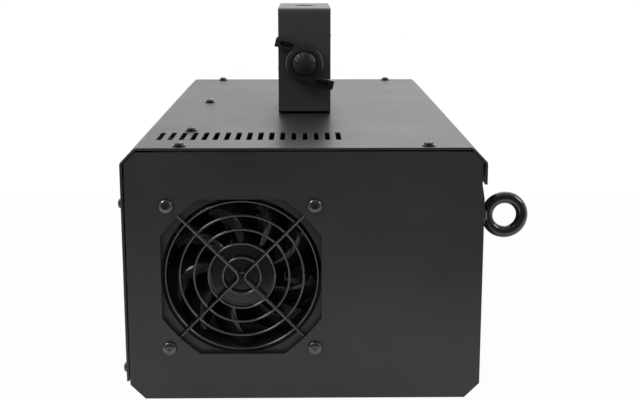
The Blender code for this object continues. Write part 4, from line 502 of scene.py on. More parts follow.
# Moulded natural rubber: dull, with a soft bloom of dust in its pores.
rubber = finish("moulded_black_rubber", "#1A1A1A", "#262626", 0.4, 5, 0.75, 0.06, 0.03)
FOOT_RADIUS = 0.008
FOOT_TOP = BASE - 0.0003
DISH = 0.001
FOOT_SHARES = [(DISH, 0), (DISH, 0.45), (DISH * 0.2, 0.52), (0, 0.58), (0, 0.80),
               (DISH * 0.3, 0.86), (DISH, 0.90), (FOOT_TOP - DISH * 0.4, 0.99),
               (FOOT_TOP, 0.97), (FOOT_TOP, 0)]
for number in (1, 2, 3, 4):
    node = "rubber_foot_%d" % number
    foot = lathe("Z", spot(node).xy, [(rise, FOOT_RADIUS * share) for rise, share in FOOT_SHARES])
    plant(link_mesh("foot_%d" % number, foot), rubber, replaces=[node])


# ==== Fan ====================================================================================
# An 80 mm axial fan behind the end panel blows cooling air through the case. Its frame and its
# nine-bladed rotor are moulded, the frame in glass-filled plastic, which is duller.
# Glass-filled polyester: dark grey-black, semi-matt, with a faint flow mottle.
fan_plastic = finish("glass_filled_polyester", "#1B1B1C", "#262627", 0.5, 12, 0.42, 0.05, 0.02)
FAN_HALF = 0.040
FAN_CORNER = 0.005
FAN_FLANGE = 0.0036
FAN_BORE = 0.0389
FAN_BARREL = 0.0397
FAN_FLARE = 0.0009
FAN_EASE = 0.0006
PAST = 0.001
fan_low, fan_high = reach("fan_frame")
FAN_FRONT, FAN_BACK = fan_low.y, fan_high.y


def fan_flange(start, end):
    """Square plate of the frame with rounded corners."""
    centre = FAN_MIDDLE
    plate = slab((centre.x - FAN_HALF, start, centre.z - FAN_HALF),
                 (centre.x + FAN_HALF, end, centre.z + FAN_HALF))
    corners = [edge for edge in plate.edges
               if abs(edge.verts[0].co.y - edge.verts[1].co.y) > (end - start) / 2]
    bmesh.ops.bevel(plate, geom=corners, offset=FAN_CORNER, segments=6, affect="EDGES",
                    profile=0.5, material=-1)
    return plate


fan_frame = link_mesh("fan_housing", fan_flange(FAN_FRONT, FAN_FRONT + FAN_FLANGE))
carve(fan_frame, [fan_flange(FAN_BACK - FAN_FLANGE, FAN_BACK)], "UNION")
duct = bar("Y", FAN_MIDDLE.xz, FAN_BARREL, FAN_FRONT + PAST, FAN_BACK - PAST, 96)
carve(fan_frame, [duct], "UNION")
mouth = lathe("Y", FAN_MIDDLE.xz, [(FAN_FRONT - PAST, 0), (FAN_FRONT - PAST, FAN_BORE + FAN_FLARE),
                                   (FAN_FRONT + FAN_FLARE, FAN_BORE + FAN_FLARE * 0.25),
                                   (FAN_FRONT + 2 * FAN_FLARE, FAN_BORE),
                                   (FAN_BACK + PAST, FAN_BORE), (FAN_BACK + PAST, 0)], 96)
carve(fan_frame, [mouth])
for node in FAN_SCREWS:
    hole = bar("Y", spot(node).xz, FAN_SCREW_HOLE, FAN_FRONT - PAST, FAN_BACK + PAST, 20)
    carve(fan_frame, [hole])
HUB_RADIUS = 0.0163
STRUT = 0.003
STRUT_HALF = 0.0017
STRUT_TURN = math.radians(28)
plate = lathe("Y", FAN_MIDDLE.xz, [(FAN_BACK - STRUT, 0), (FAN_BACK - STRUT, HUB_RADIUS),
                                   (FAN_BACK - FAN_EASE, HUB_RADIUS),
                                   (FAN_BACK, HUB_RADIUS - FAN_EASE),
                                   (FAN_BACK, 0)], 64)
carve(fan_frame, [plate], "UNION")
for quarter in range(4):
    strut = slab((HUB_RADIUS - PAST, FAN_BACK - STRUT + FLUSH, -STRUT_HALF),
                 (FAN_BORE + FAN_EASE, FAN_BACK - FLUSH, STRUT_HALF))
    bmesh.ops.rotate(strut, cent=(0, 0, 0), verts=strut.verts,
                     matrix=Matrix.Rotation(STRUT_TURN + math.pi / 2 * quarter, 3, "Y"))
    bmesh.ops.translate(strut, vec=(FAN_MIDDLE.x, 0, FAN_MIDDLE.z), verts=strut.verts)
    carve(fan_frame, [strut], "UNION")
plant(fan_frame, fan_plastic, replaces=["fan_frame"], edge=FINE_EDGE)

# Injection-moulded ABS with a polished mould: near black, glossy, with long soft highlights.
gloss_plastic = finish("polished_black_abs", "#0C0C0D", "#111112", 1.5, 15, 0.13, 0.02, 0.002)
BLADES = 9
BLADE_TIP = 0.0366
BLADE_CHORD = math.radians(31)
BLADE_SWEEP = math.radians(22)
BLADE_CAMBER = 0.0022
BLADE_SHEET = 0.0012
BLADE_FIRST = math.radians(3)
HUB_GAP = 0.0026
HUB_EDGE = 0.0012
HUB_DIMPLE = 0.0011
HUB_SINK = 0.0003
HUB_HOLD = 0.0003
HUB_RIM = 0.0015
HUB_HOLLOW = 0.003
BLADE_ROOT = 0.0008
BLADE_TAPER = 0.15
BLADE_CORNER = 0.0030
BLADE_CORNER_FROM = 0.8
BLADE_FRONT_INSET = 0.0034
BLADE_BACK_INSET = 0.0035
hub_front = FAN_FRONT + HUB_GAP
hub_back = FAN_BACK - STRUT - FAN_EASE
blade_front = hub_front + BLADE_FRONT_INSET
blade_back = hub_back - BLADE_BACK_INSET


def fan_blade(number):
    """Swept, pitched and cambered blade, bent from a flat grid."""
    mesh = bmesh.new()
    bmesh.ops.create_grid(mesh, x_segments=12, y_segments=10, size=0.5)
    inner = HUB_RADIUS - BLADE_ROOT
    for vert in mesh.verts:
        chord, span = vert.co.x + 0.5, vert.co.y + 0.5
        radius = inner + (BLADE_TIP - inner) * span
        width = BLADE_CHORD * (1 - BLADE_TAPER * span)
        turn = BLADE_FIRST + math.tau * number / BLADES + BLADE_SWEEP * span ** 1.3
        turn += (chord - 0.5) * width
        past_corner = max(0, span - BLADE_CORNER_FROM) / (1 - BLADE_CORNER_FROM)
        depth = blade_back - (blade_back - blade_front) * chord
        depth -= BLADE_CAMBER * math.sin(math.pi * chord)
        radius -= BLADE_CORNER * past_corner * (2 * chord - 1) ** 4
        vert.co = (FAN_MIDDLE.x + radius * math.cos(turn), depth,
                   FAN_MIDDLE.z + radius * math.sin(turn))
    bmesh.ops.recalc_face_normals(mesh, faces=mesh.faces)
    bmesh.ops.solidify(mesh, geom=mesh.faces, thickness=BLADE_SHEET)
    return outward(mesh)


hub = lathe("Y", FAN_MIDDLE.xz, [(hub_front + HUB_SINK, 0),
                                 (hub_front + HUB_SINK, HUB_DIMPLE * 0.6),
                                 (hub_front, HUB_DIMPLE), (hub_front, HUB_DIMPLE + HUB_HOLD),
                                 (hub_front, HUB_RADIUS - HUB_EDGE - HUB_HOLD),
                                 (hub_front, HUB_RADIUS - HUB_EDGE),
                                 (hub_front + HUB_EDGE * 0.3, HUB_RADIUS - HUB_EDGE * 0.3),
                                 (hub_front + HUB_EDGE, HUB_RADIUS), (hub_back, HUB_RADIUS),
                                 (hub_back, HUB_RADIUS - HUB_RIM), (hub_back - HUB_HOLLOW, 0)], 96)
rotor = link_mesh("fan_impeller", hub)
for number in range(BLADES):
    carve(rotor, [fan_blade(number)], "UNION")
plant(rotor, gloss_plastic, "fan_rotor", ["fan_rotor"])


# ==== Fan leads ==============================================================================
# A red and a black lead run from the motor along one strut and out over the frame's edge,
# twisted loosely. Through the blades only a glint of the red one shows.
def wire(points, radius, closed=False, resolution=3):
    """Round wire along a smooth curve through the points."""
    curve = bpy.data.curves.new("wire", "CURVE")
    curve.dimensions = "3D"
    curve.bevel_depth = radius
    curve.bevel_resolution = resolution
    curve.use_fill_caps = True
    spline = curve.splines.new("POLY")
    spline.points.add(len(points) - 1)
    for target, point in zip(spline.points, points):
        target.co = (*point, 1)
    spline.use_cyclic_u = closed
    holder = bpy.data.objects.new("wire", curve)
    bpy.context.scene.collection.objects.link(holder)
    ready = holder.evaluated_get(bpy.context.evaluated_depsgraph_get())
    data = bpy.data.meshes.new_from_object(ready)
    mesh = bmesh.new()
    mesh.from_mesh(data)
    bpy.data.objects.remove(holder)
    bpy.data.curves.remove(curve)
    bpy.data.meshes.remove(data)
    return outward(mesh)


def route(points, steps=6):
    """Points on a smooth curve through a given route."""
    stops = [Vector(point) for point in points]
    result = []
    for index in range(len(stops) - 1):
        before, here = stops[max(index - 1, 0)], stops[index]
        there, after = stops[index + 1], stops[min(index + 2, len(stops) - 1)]
        for step in range(steps):
            t = step / steps
            result.append(0.5 * (2 * here + (there - before) * t
                                 + (2 * before - 5 * here + 4 * there - after) * t * t
                                 + (3 * here - before - 3 * there + after) * t ** 3))
    return result + [stops[-1]]


# PVC insulation: smooth and slightly waxy.
red_pvc = finish("red_pvc_insulation", "#6A1416", "#7A181A", 0.8, 10, 0.35, 0.05, 0.01)
black_pvc = finish("black_pvc_insulation", "#161616", "#1F1F1F", 0.8, 10, 0.40, 0.05, 0.01)
LEAD_RADIUS = 0.0006
LEAD_TURN = math.radians(-57)
LEAD_START = 0.012
LEAD_STEP = 0.0045
LEAD_STOPS = 9
LEAD_WANDER = 0.5
LEADS = {"fan_lead_red": (red_pvc, 0.0008), "fan_lead_black": (black_pvc, -0.0008)}
for name, (insulation, side) in LEADS.items():
    along = Vector((math.cos(LEAD_TURN), 0, math.sin(LEAD_TURN)))
    across = Vector((-along.z, 0, along.x))
    centre = Vector((FAN_MIDDLE.x, FAN_BACK + LEAD_RADIUS + 0.0002, FAN_MIDDLE.z))
    stops = [centre + along * (LEAD_START + LEAD_STEP * stop)
             + across * side * (1 + LEAD_WANDER * math.sin(stop)) for stop in range(LEAD_STOPS)]
    plant(link_mesh(name, wire(route(stops), LEAD_RADIUS)), insulation)


# ==== Wire guard =============================================================================
# Five rings of steel wire welded behind two V-shaped wires, whose ends curl round the fan
# screws between the panel and the frame.
# Black nickel on steel wire: dark where it faces the dark room, and bright along its top.
nickel_wire = finish("black_nickel_wire", "#5E5E60", "#68686A", 0.6, 6, 0.20, 0.04, 0.004, 1.0)
GUARD_RINGS = 5
GUARD_FIRST = 0.0092
GUARD_PITCH = 0.00705
RING_WIRE = 0.0006
SPOKE_WIRE = 0.0008
GUARD_PLAY = 0.0003
SPOKE_Y = SHEET + GUARD_PLAY + SPOKE_WIRE
RING_Y = SPOKE_Y + SPOKE_WIRE + RING_WIRE * 0.6
APEX = 0.0003
APEX_BEND = 0.0034
LOOP_RADIUS = 0.0038


def ring(axis, centre, major, minor, steps=96, sides=12):
    """Torus whose hole runs along an axis; centre is a full point."""
    mesh = bmesh.new()
    circle = bmesh.ops.create_circle(mesh, segments=sides, radius=minor)["verts"]
    bmesh.ops.rotate(mesh, cent=(0, 0, 0), matrix=Matrix.Rotation(math.pi / 2, 3, "X"),
                     verts=circle)
    bmesh.ops.translate(mesh, vec=(major, 0, 0), verts=circle)
    bmesh.ops.spin(mesh, geom=list(mesh.verts) + list(mesh.edges), cent=(0, 0, 0),
                   axis=(0, 0, 1), angle=math.tau, steps=steps, use_merge=True)
    turn = {"X": Matrix.Rotation(math.pi / 2, 3, "Y"), "Y": Matrix.Rotation(math.pi / 2, 3, "X"),
            "Z": Matrix.Identity(3)}[axis]
    bmesh.ops.rotate(mesh, cent=(0, 0, 0), matrix=turn, verts=mesh.verts)
    bmesh.ops.translate(mesh, vec=centre, verts=mesh.verts)
    return outward(mesh)


def rounded(points, radius, steps=8):
    """Open line with each inner corner replaced by an arc."""
    result = [Vector(points[0])]
    for before, corner, after in zip(points, points[1:], points[2:]):
        here = Vector(corner)
        into = (Vector(before) - here).normalized()
        out = (Vector(after) - here).normalized()
        half = into.angle(out) / 2
        centre = here + (into + out).normalized() * radius / math.sin(half)
        start = here + into * radius / math.tan(half) - centre
        end = here + out * radius / math.tan(half) - centre
        result += [centre + start.lerp(end, step / steps).normalized() * radius
                   for step in range(steps + 1)]
    return result + [Vector(points[-1])]


eye = abs(spot("fan_screw_1").x - FAN_MIDDLE.x) - LOOP_RADIUS * 0.7
parts = []
for side in (-1, 1):
    spoke = rounded([(side * eye, eye), (side * APEX, 0), (side * eye, -eye)], APEX_BEND)
    parts.append(wire([(FAN_MIDDLE.x + point.x, SPOKE_Y, FAN_MIDDLE.z + point.y)
                       for point in spoke], SPOKE_WIRE))
for node in FAN_SCREWS:
    parts.append(ring("Y", (spot(node).x, SPOKE_Y, spot(node).z), LOOP_RADIUS,
                      SPOKE_WIRE * 0.98, 32))
for number in range(GUARD_RINGS):
    parts.append(ring("Y", (FAN_MIDDLE.x, RING_Y, FAN_MIDDLE.z),
                      GUARD_FIRST + number * GUARD_PITCH, RING_WIRE, 64 + 16 * number))
guard = link_mesh("wire_guard", gathered(parts))
plant(guard, nickel_wire, replaces=["fan_guard"])


# ==== Screws =================================================================================
# Cross-recessed machine screws in blackened steel. Pan heads hold the fan, heads on washers
# hold the cover, and small low ones hold what is let into the walls.
# Black nickel plate: dark from the front, with bright rims where it mirrors the white paper.
black_nickel = finish("black_nickel_plate", "#5C5C5E", "#6A6A6C", 0.5, 3, 0.24, 0.05, 0.006, 1.0)
RECESS_SHARE = 0.62
RECESS_WIDTH = 0.17
RECESS_FLOOR = 0.35


def screw_pattern(profile):
    """Screw head along +Z with its cross recess, turned from a profile of (height, radius)."""
    head = lathe("Z", (0, 0), profile, 40)
    top = max(height for height, radius in profile)
    rim = max(radius for height, radius in profile)
    item = link_mesh("pattern", head)
    for turn in (0, math.pi / 2):
        blade = slab((-rim * RECESS_SHARE, -rim * RECESS_WIDTH / 2, top * RECESS_FLOOR),
                     (rim * RECESS_SHARE, rim * RECESS_WIDTH / 2, top * 2))
        low_ends = [vert for vert in blade.verts if vert.co.z < top]
        bmesh.ops.scale(blade, vec=(0.35, 0.75, 1), verts=low_ends)
        bmesh.ops.rotate(blade, cent=(0, 0, 0), matrix=Matrix.Rotation(turn, 3, "Z"),
                         verts=blade.verts)
        carve(item, [blade])
    mesh = bmesh.new()
    mesh.from_mesh(item.data)
    bmesh.ops.translate(mesh, vec=-CASE_ORIGIN, verts=mesh.verts)
    data = bpy.data.meshes.new("pattern")
    mesh.to_mesh(data)
    mesh.free()
    bpy.data.objects.remove(item)
    return data


HEAD_UP = {"+Z": Matrix.Identity(3), "-Z": Matrix.Rotation(math.pi, 3, "X"),
           "-Y": Matrix.Rotation(math.pi / 2, 3, "X"), "+Y": Matrix.Rotation(-math.pi / 2, 3, "X"),
           "+X": Matrix.Rotation(math.pi / 2, 3, "Y"), "-X": Matrix.Rotation(-math.pi / 2, 3, "Y")}


def driven(pattern, place, facing, turn):
    """Copy of a screw pattern seated at a place, facing outwards and turned at random."""
    mesh = bmesh.new()
    mesh.from_mesh(pattern)
    bmesh.ops.rotate(mesh, cent=(0, 0, 0), matrix=Matrix.Rotation(turn, 3, "Z"), verts=mesh.verts)
    bmesh.ops.rotate(mesh, cent=(0, 0, 0), matrix=HEAD_UP[facing], verts=mesh.verts)
    bmesh.ops.translate(mesh, vec=place, verts=mesh.verts)
    return mesh


def screw_set(name, pattern, facing, seats, metal=black_nickel):
    """Screws that hold one piece, as one object; each seat is a place and a turn."""
    heads = [driven(pattern, place, facing, turn) for place, turn in seats]
    plant(link_mesh(name, gathered(heads)), metal, smooth=30)


SEAT = 0.0003
PAN_HEAD = [(-0.006, 0), (-0.006, 0.0019), (0, 0.0019), (0, 0.0033), (0.0006, 0.0034),
            (0.0012, 0.0032), (0.0017, 0.0026), (0.0020, 0.0016), (0.0020, 0)]
WASHER_HEAD = [(-0.005, 0), (-0.005, 0.0015), (0, 0.0015), (0, 0.0031), (0.0005, 0.0032),
               (0.0006, 0.0023), (0.0012, 0.0023), (0.0017, 0.0019), (0.0020, 0.0011), (0.0020, 0)]
SMALL_HEAD = [(-0.003, 0), (-0.003, 0.0009), (0, 0.0009), (0, 0.0021), (0.0004, 0.0021),
              (0.0009, 0.0016), (0.0011, 0.0009), (0.0011, 0)]
pan_pattern = screw_pattern(PAN_HEAD)
washer_pattern = screw_pattern(WASHER_HEAD)
small_pattern = screw_pattern(SMALL_HEAD)
TURN_STEP = 0.77
for number, node in enumerate(FAN_SCREWS):
    head = driven(pan_pattern, (spot(node).x, -SEAT, spot(node).z), "-Y", TURN_STEP * number)
    plant(link_mesh("fan_bolt_%d" % (number + 1), head), black_nickel,
          replaces=[node], smooth=30)


# ==== Cover ==================================================================================
# One folded sheet makes the left wall, the roof and a short lip on the control side. It slides
# over the end panels and takes seventeen vent slots above the fan.
SKIRT = 0.0091
SLOTS = 17
SLOT_PITCH = 0.0056
SLOT_WIDTH = 0.0025
SLOT_LENGTH = 0.0245
SLOT_FIRST_X = -0.0723
SLOT_NEAR_Y = 0.025
SLOT_ROUND = 0.0007
COVER_SCREWS = ["cover_screw_%d" % number for number in (1, 2, 3, 4)]
cover_path = [(-HALF, BASE + SKIRT), (-HALF, ROOF - CHAMFER), (-HALF + CHAMFER, ROOF),
              (HALF - CHAMFER, ROOF), (HALF, ROOF - CHAMFER), (HALF, LIP_END)]
cover = fold("cover_shell", "Y", cover_path, -SHEET, BEND, 0, LENGTH)
holes = []
for number in range(SLOTS):
    x = SLOT_FIRST_X + number * SLOT_PITCH
    slot = slab((x - SLOT_WIDTH / 2, SLOT_NEAR_Y, ROOF - 2 * SHEET),
                (x + SLOT_WIDTH / 2, SLOT_NEAR_Y + SLOT_LENGTH, ROOF + SHEET))
    uprights = [edge for edge in slot.edges
                if abs(edge.verts[0].co.z - edge.verts[1].co.z) > SHEET]
    bmesh.ops.bevel(slot, geom=uprights, offset=SLOT_ROUND, segments=3, affect="EDGES",
                    profile=0.5, material=-1)
    holes.append(slot)
NOZZLE_MIDDLE = spot("nozzle")
NOZZLE_HOLE = 0.0095
holes.append(bar("X", NOZZLE_MIDDLE.yz, NOZZLE_HOLE, -HALF - SHEET, -HALF + 2 * SHEET))
carve(cover, holes)
plant(cover, powder_coat, replaces=["top_cover"], edge=FINE_EDGE)

for number, node in enumerate(COVER_SCREWS):
    place = (spot(node).x, spot(node).y, ROOF + SEAT / 3)
    head = driven(washer_pattern, place, "+Z", 1 + TURN_STEP * number)
    plant(link_mesh("cover_bolt_%d" % (number + 1), head), black_nickel,
          replaces=[node], smooth=30)
SHIELD_SCREWS = [(-0.059, 0.056), (-0.059, 0.177)]
screw_set("shield_screws", washer_pattern, "+Z",
          [((x, y, ROOF + SEAT / 3), 0.4 + number) for number, (x, y) in enumerate(SHIELD_SCREWS)])
WALL_SCREW_RISES = (0.0145, 0.098)
WALL_SCREW_INSET = 0.006
screw_set("wall_screws", washer_pattern, "-X",
          [((-HALF - SEAT / 3, y, BASE + rise), rise * 40 + y * 9) for rise in WALL_SCREW_RISES
           for y in (WALL_SCREW_INSET, LENGTH - WALL_SCREW_INSET)])


# ==== Hanging bracket ========================================================================
# A U of 2 mm steel is screwed to the roof, and the yoke that takes the lighting clamp swings
# on it. Two clamp bolts ride in the ears' slots, and the wing knobs on them lock the tilt.
YOKE_SHEET = 0.002
YOKE_BEND = 0.0025
EAR_BEND = 0.0018
STUD_HOLE = 0.0033
CLAMP_HOLE = 0.0062
yoke_low, yoke_high = reach("yoke")
ears_low, ears_high = reach("bracket_base")
YOKE_MIDDLE = spot("yoke")
PIVOT = Vector((YOKE_MIDDLE.x, YOKE_MIDDLE.y, spot("clamp_bolt_near").z))
LIFT = 0.0102
SOFT_EDGE = 0.0003
near, far = ears_low.y, ears_high.y
ear_path = [(near, ears_high.z), (near, ears_low.z), (far, ears_low.z), (far, ears_high.z)]
ears = fold("bracket_ears", "X", ear_path, YOKE_SHEET, EAR_BEND, ears_low.x, ears_high.x)
SLOT_ARC = 10
stadium = []
for centre, first in ((PIVOT.z + LIFT, 0), (PIVOT.z, math.pi)):
    for step in range(SLOT_ARC + 1):
        turn = first + math.pi * step / SLOT_ARC
        stadium.append((PIVOT.x + STUD_HOLE * math.cos(turn), centre + STUD_HOLE * math.sin(turn)))
EAR_CORNER = 0.006
CORNER_ARC = 8
cuts = [prism("Y", stadium, near - PAST, far + PAST)]
for side in (-1, 1):
    edge = PIVOT.x + side * (ears_high.x - ears_low.x) / 2
    top = ears_high.z
    turns = [step * math.pi / 2 / CORNER_ARC for step in range(CORNER_ARC + 1)]
    arc = [(edge - side * EAR_CORNER * (1 - math.sin(turn)),
            top - EAR_CORNER * (1 - math.cos(turn))) for turn in turns]
    outer = [(edge + side * PAST, top - EAR_CORNER), (edge + side * PAST, top + PAST),
             (edge - side * EAR_CORNER, top + PAST)]
    cuts.append(prism("Y", arc + outer, near - 2 * PAST, far + 2 * PAST))
carve(ears, cuts)
plant(ears, powder_coat, replaces=["bracket_base"], edge=FINE_EDGE)
BASE_SCREW_X, BASE_SCREW_Y = 0.009, 0.014
screw_set("bracket_screws", pan_pattern, "+Z",
          [((PIVOT.x + x, PIVOT.y + y, ears_low.z + YOKE_SHEET + SEAT / 3), 3 * x + y)
           for x in (-BASE_SCREW_X, BASE_SCREW_X) for y in (BASE_SCREW_Y, -BASE_SCREW_Y)])

near, far = yoke_low.y, yoke_high.y
yoke_path = [(near, yoke_low.z), (near, yoke_high.z), (far, yoke_high.z), (far, yoke_low.z)]
yoke = fold("yoke_strap", "X", yoke_path, -YOKE_SHEET, YOKE_BEND, yoke_low.x, yoke_high.x)
carve(yoke, [bar("Z", PIVOT.xy, CLAMP_HOLE, yoke_high.z - 2 * YOKE_SHEET, yoke_high.z + PAST, 64),
             bar("Y", PIVOT.xz, STUD_HOLE, near - PAST, far + PAST)])
# The same powder coat painted a shade lighter, as a painted sheen for the brighter reflection along the
# yoke.
yoke_coat_painted_sheen = finish("bracket_powder_coat_painted_sheen", "#303032", "#39393B", 0.55, 60, 0.36, 0.03, 0.035)
plant(yoke, yoke_coat_painted_sheen, "yoke", ["yoke"], edge=SOFT_EDGE)


# ==== Wing knobs =============================================================================
# Moulded knobs with a blind bore for the clamp bolt: a low boss whose two wings leave it at a
# tangent, like a pinwheel, each with a hollow for the fingertip, and a fluted cap on top.
KNOB_RADIUS = 0.0106
KNOB_DEPTH = 0.0085
KNOB_CAP_RADIUS = 0.0066
CAP_RISE = 0.003
WING_DEPTH = 0.0071
WING_SEAT = 0.0012
TIP_OUT, TIP_UP = 0.0160, 0.0150
HOLLOW_MIDDLE = (-0.0099, 0.0109)
HOLLOW_HALF = (0.0041, 0.0015)
HOLLOW_TURN = math.radians(-14)
HOLLOW_DEPTH = 0.0035
CAP_FLUTES = 10
FLUTE_DEPTH = 0.00012
# Moulded nylon from a finely sparked mould: black and satin.
satin_nylon = finish("satin_black_nylon", "#151516", "#1E1E1F", 0.5, 9, 0.36, 0.04, 0.006)


def wing_outline():
    """Upper left wing: its top edge runs straight into the boss at a tangent."""
    inner = KNOB_RADIUS - 0.0003
    leave, root = math.radians(76), math.radians(136)
    return [(inner * math.cos(leave), inner * math.sin(leave)), (-TIP_OUT + 0.0008, TIP_UP),
            (-TIP_OUT, TIP_UP - 0.0006), (-TIP_OUT - 0.0011, TIP_UP - 0.0050),
            (inner * math.cos(root), inner * math.sin(root)), (-0.0030, 0.0060), (0.0010, 0.0060)]


def wing_knob(name, node, body, side, seat):
    """Knob on the side of the yoke that faces the fan end (-1) or the far end (1)."""
    crown = seat + side * KNOB_DEPTH
    cap = crown + side * CAP_RISE
    boss = lathe("Y", PIVOT.xz, [(crown - side * 0.002, 0), (crown - side * 0.002, STUD_HOLE),
                                 (seat, STUD_HOLE), (seat, KNOB_RADIUS - 0.0004),
                                 (seat + side * 0.0005, KNOB_RADIUS),
                                 (crown - side * 0.0012, KNOB_RADIUS),
                                 (crown - side * 0.0005, KNOB_RADIUS - 0.0003),
                                 (crown, KNOB_RADIUS - 0.0012), (crown, KNOB_CAP_RADIUS + 0.0009),
                                 (crown - side * 0.0007, KNOB_CAP_RADIUS + 0.0004),
                                 (crown - side * 0.0007, 0)], 72)
    knob = link_mesh(name, boss)
    for turn in (0, math.pi):
        wing = prism("Y", wing_outline(), 0, WING_DEPTH)
        rim = [edge for edge in wing.edges
               if abs(edge.verts[0].co.y - edge.verts[1].co.y) < WING_DEPTH / 2]
        bmesh.ops.bevel(wing, geom=rim, offset=0.0005, segments=2, affect="EDGES", profile=0.5,
                        material=-1)
        hollow = lathe("Y", (0, 0), [(-0.001, 0), (-0.001, 1), (HOLLOW_DEPTH * 0.6, 0.9),
                                     (HOLLOW_DEPTH, 0.6), (HOLLOW_DEPTH, 0)], 32)
        bmesh.ops.scale(hollow, vec=(HOLLOW_HALF[0], 1, HOLLOW_HALF[1]), verts=hollow.verts)
        bmesh.ops.rotate(hollow, cent=(0, 0, 0), matrix=Matrix.Rotation(-HOLLOW_TURN, 3, "Y"),
                         verts=hollow.verts)
        bmesh.ops.translate(hollow, vec=(HOLLOW_MIDDLE[0], 0, HOLLOW_MIDDLE[1]),
                            verts=hollow.verts)
        for mesh in (wing, hollow):
            bmesh.ops.rotate(mesh, cent=(0, 0, 0), matrix=Matrix.Rotation(turn, 3, "Y"),
                             verts=mesh.verts)
            if side > 0:
                bmesh.ops.rotate(mesh, cent=(0, 0, 0), matrix=Matrix.Rotation(math.pi, 3, "Z"),
                                 verts=mesh.verts)
            front = seat + side * (WING_SEAT + WING_DEPTH)
            bmesh.ops.translate(mesh, vec=(PIVOT.x, front, PIVOT.z), verts=mesh.verts)
            outward(mesh)
        carve(knob, [wing], "UNION")
        carve(knob, [hollow])
    plant(knob, satin_nylon, body, [node], edge=FINE_EDGE, smooth=30)
    cone = lathe("Y", PIVOT.xz, [(crown - side * 0.0006, 0),
                                 (crown - side * 0.0006, KNOB_CAP_RADIUS),
                                 (crown + side * 0.0009, KNOB_CAP_RADIUS),
                                 (crown + side * 0.0013, KNOB_CAP_RADIUS - 0.0005),
                                 (cap - side * 0.0002, KNOB_CAP_RADIUS * 0.30), (cap, 0)], 80)
    for vert in cone.verts:
        spoke = Vector((vert.co.x - PIVOT.x, vert.co.z - PIVOT.z))
        share = spoke.length / KNOB_CAP_RADIUS
        if 0.05 < share < 0.95 and (vert.co.y - crown) * side > 0.001:
            wave = math.cos(CAP_FLUTES * math.atan2(spoke.y, spoke.x))
            vert.co.y -= side * FLUTE_DEPTH * wave * share
    plant(link_mesh(name + "_cap", cone), satin_nylon, body)


wing_knob("near_knob", "wing_knob_near", "knob_near", -1, yoke_low.y - SEAT)
wing_knob("far_knob", "wing_knob_far", "knob_far", 1, yoke_high.y + SEAT)


# ==== Eye bolt ===============================================================================
# A cast eye bolt for the safety wire, screwed through the control side near the fan end and
# held by a nut inside the case.
# Stoved black enamel over smooth iron: deep black with a sharp, wet-looking highlight.
enamel = finish("stoved_black_enamel", "#0E0E0F", "#141415", 1.2, 10, 0.14, 0.02, 0.010,
                Coat_Weight=0.6, Coat_Roughness=0.06)
EYE_MAJOR, EYE_MINOR = 0.0087, 0.0029
EYE_COLLAR, EYE_COLLAR_RADIUS, EYE_SHANK = 0.0025, 0.0055, 0.0039
eye_low, eye_high = reach("eye_bolt")
EYE = Vector((eye_high.x - EYE_MAJOR - EYE_MINOR, spot("eye_bolt").y, spot("eye_bolt").z))
eye_bolt = link_mesh("safety_eye_bolt", ring("Y", EYE, EYE_MAJOR, EYE_MINOR, 96, 28))
seat = REAR_WALL + SEAT
shank = lathe("X", EYE.yz, [(seat + EYE_COLLAR + 0.0012, 0), (seat + EYE_COLLAR + 0.0012, 0.0034),
                            (seat + EYE_COLLAR + 0.0004, 0.0041), (seat + EYE_COLLAR, 0.0050),
                            (seat + EYE_COLLAR - 0.0006, EYE_COLLAR_RADIUS),
                            (seat + 0.0004, EYE_COLLAR_RADIUS), (seat, EYE_COLLAR_RADIUS - 0.0004),
                            (seat, EYE_SHANK), (eye_low.x + 0.0006, EYE_SHANK),
                            (eye_low.x, EYE_SHANK - 0.0006), (eye_low.x, 0)], 56)
carve(eye_bolt, [shank], "UNION")
plant(eye_bolt, enamel, replaces=["eye_bolt"])


# ==== Nozzle =================================================================================
# A turned brass nozzle screws into the heater block and carries the fog out through the left
# wall, where a small powder-coated plate with four screws closes the gap round it.
def rounded_rectangle(width, height, corner, steps=6):
    """Outline round the origin whose corners are arcs."""
    points = []
    for quarter, (x, y) in enumerate(((1, 1), (-1, 1), (-1, -1), (1, -1))):
        centre = Vector((x * (width / 2 - corner), y * (height / 2 - corner)))
        for step in range(steps + 1):
            turn = math.pi / 2 * (quarter + step / steps)
            points.append(centre + corner * Vector((math.cos(turn), math.sin(turn))))
    return points


def inset_corners(low, high, inset):
    """The four (y, z) points that lie inside the corners of a plate on a side wall."""
    return [(y, z) for y in (low.y + inset, high.y - inset) for z in (low.z + inset, high.z - inset)]


def faceplate(node, corner, back, face, shrink=0.0):
    """Plate across the X axis as wide and high as a CAD node, with rounded corners."""
    low, high = reach(node)
    middle = (low + high).yz / 2
    outline = rounded_rectangle(high.y - low.y - shrink, high.z - low.z - shrink, corner)
    return prism("X", [point + middle for point in outline], back, face)


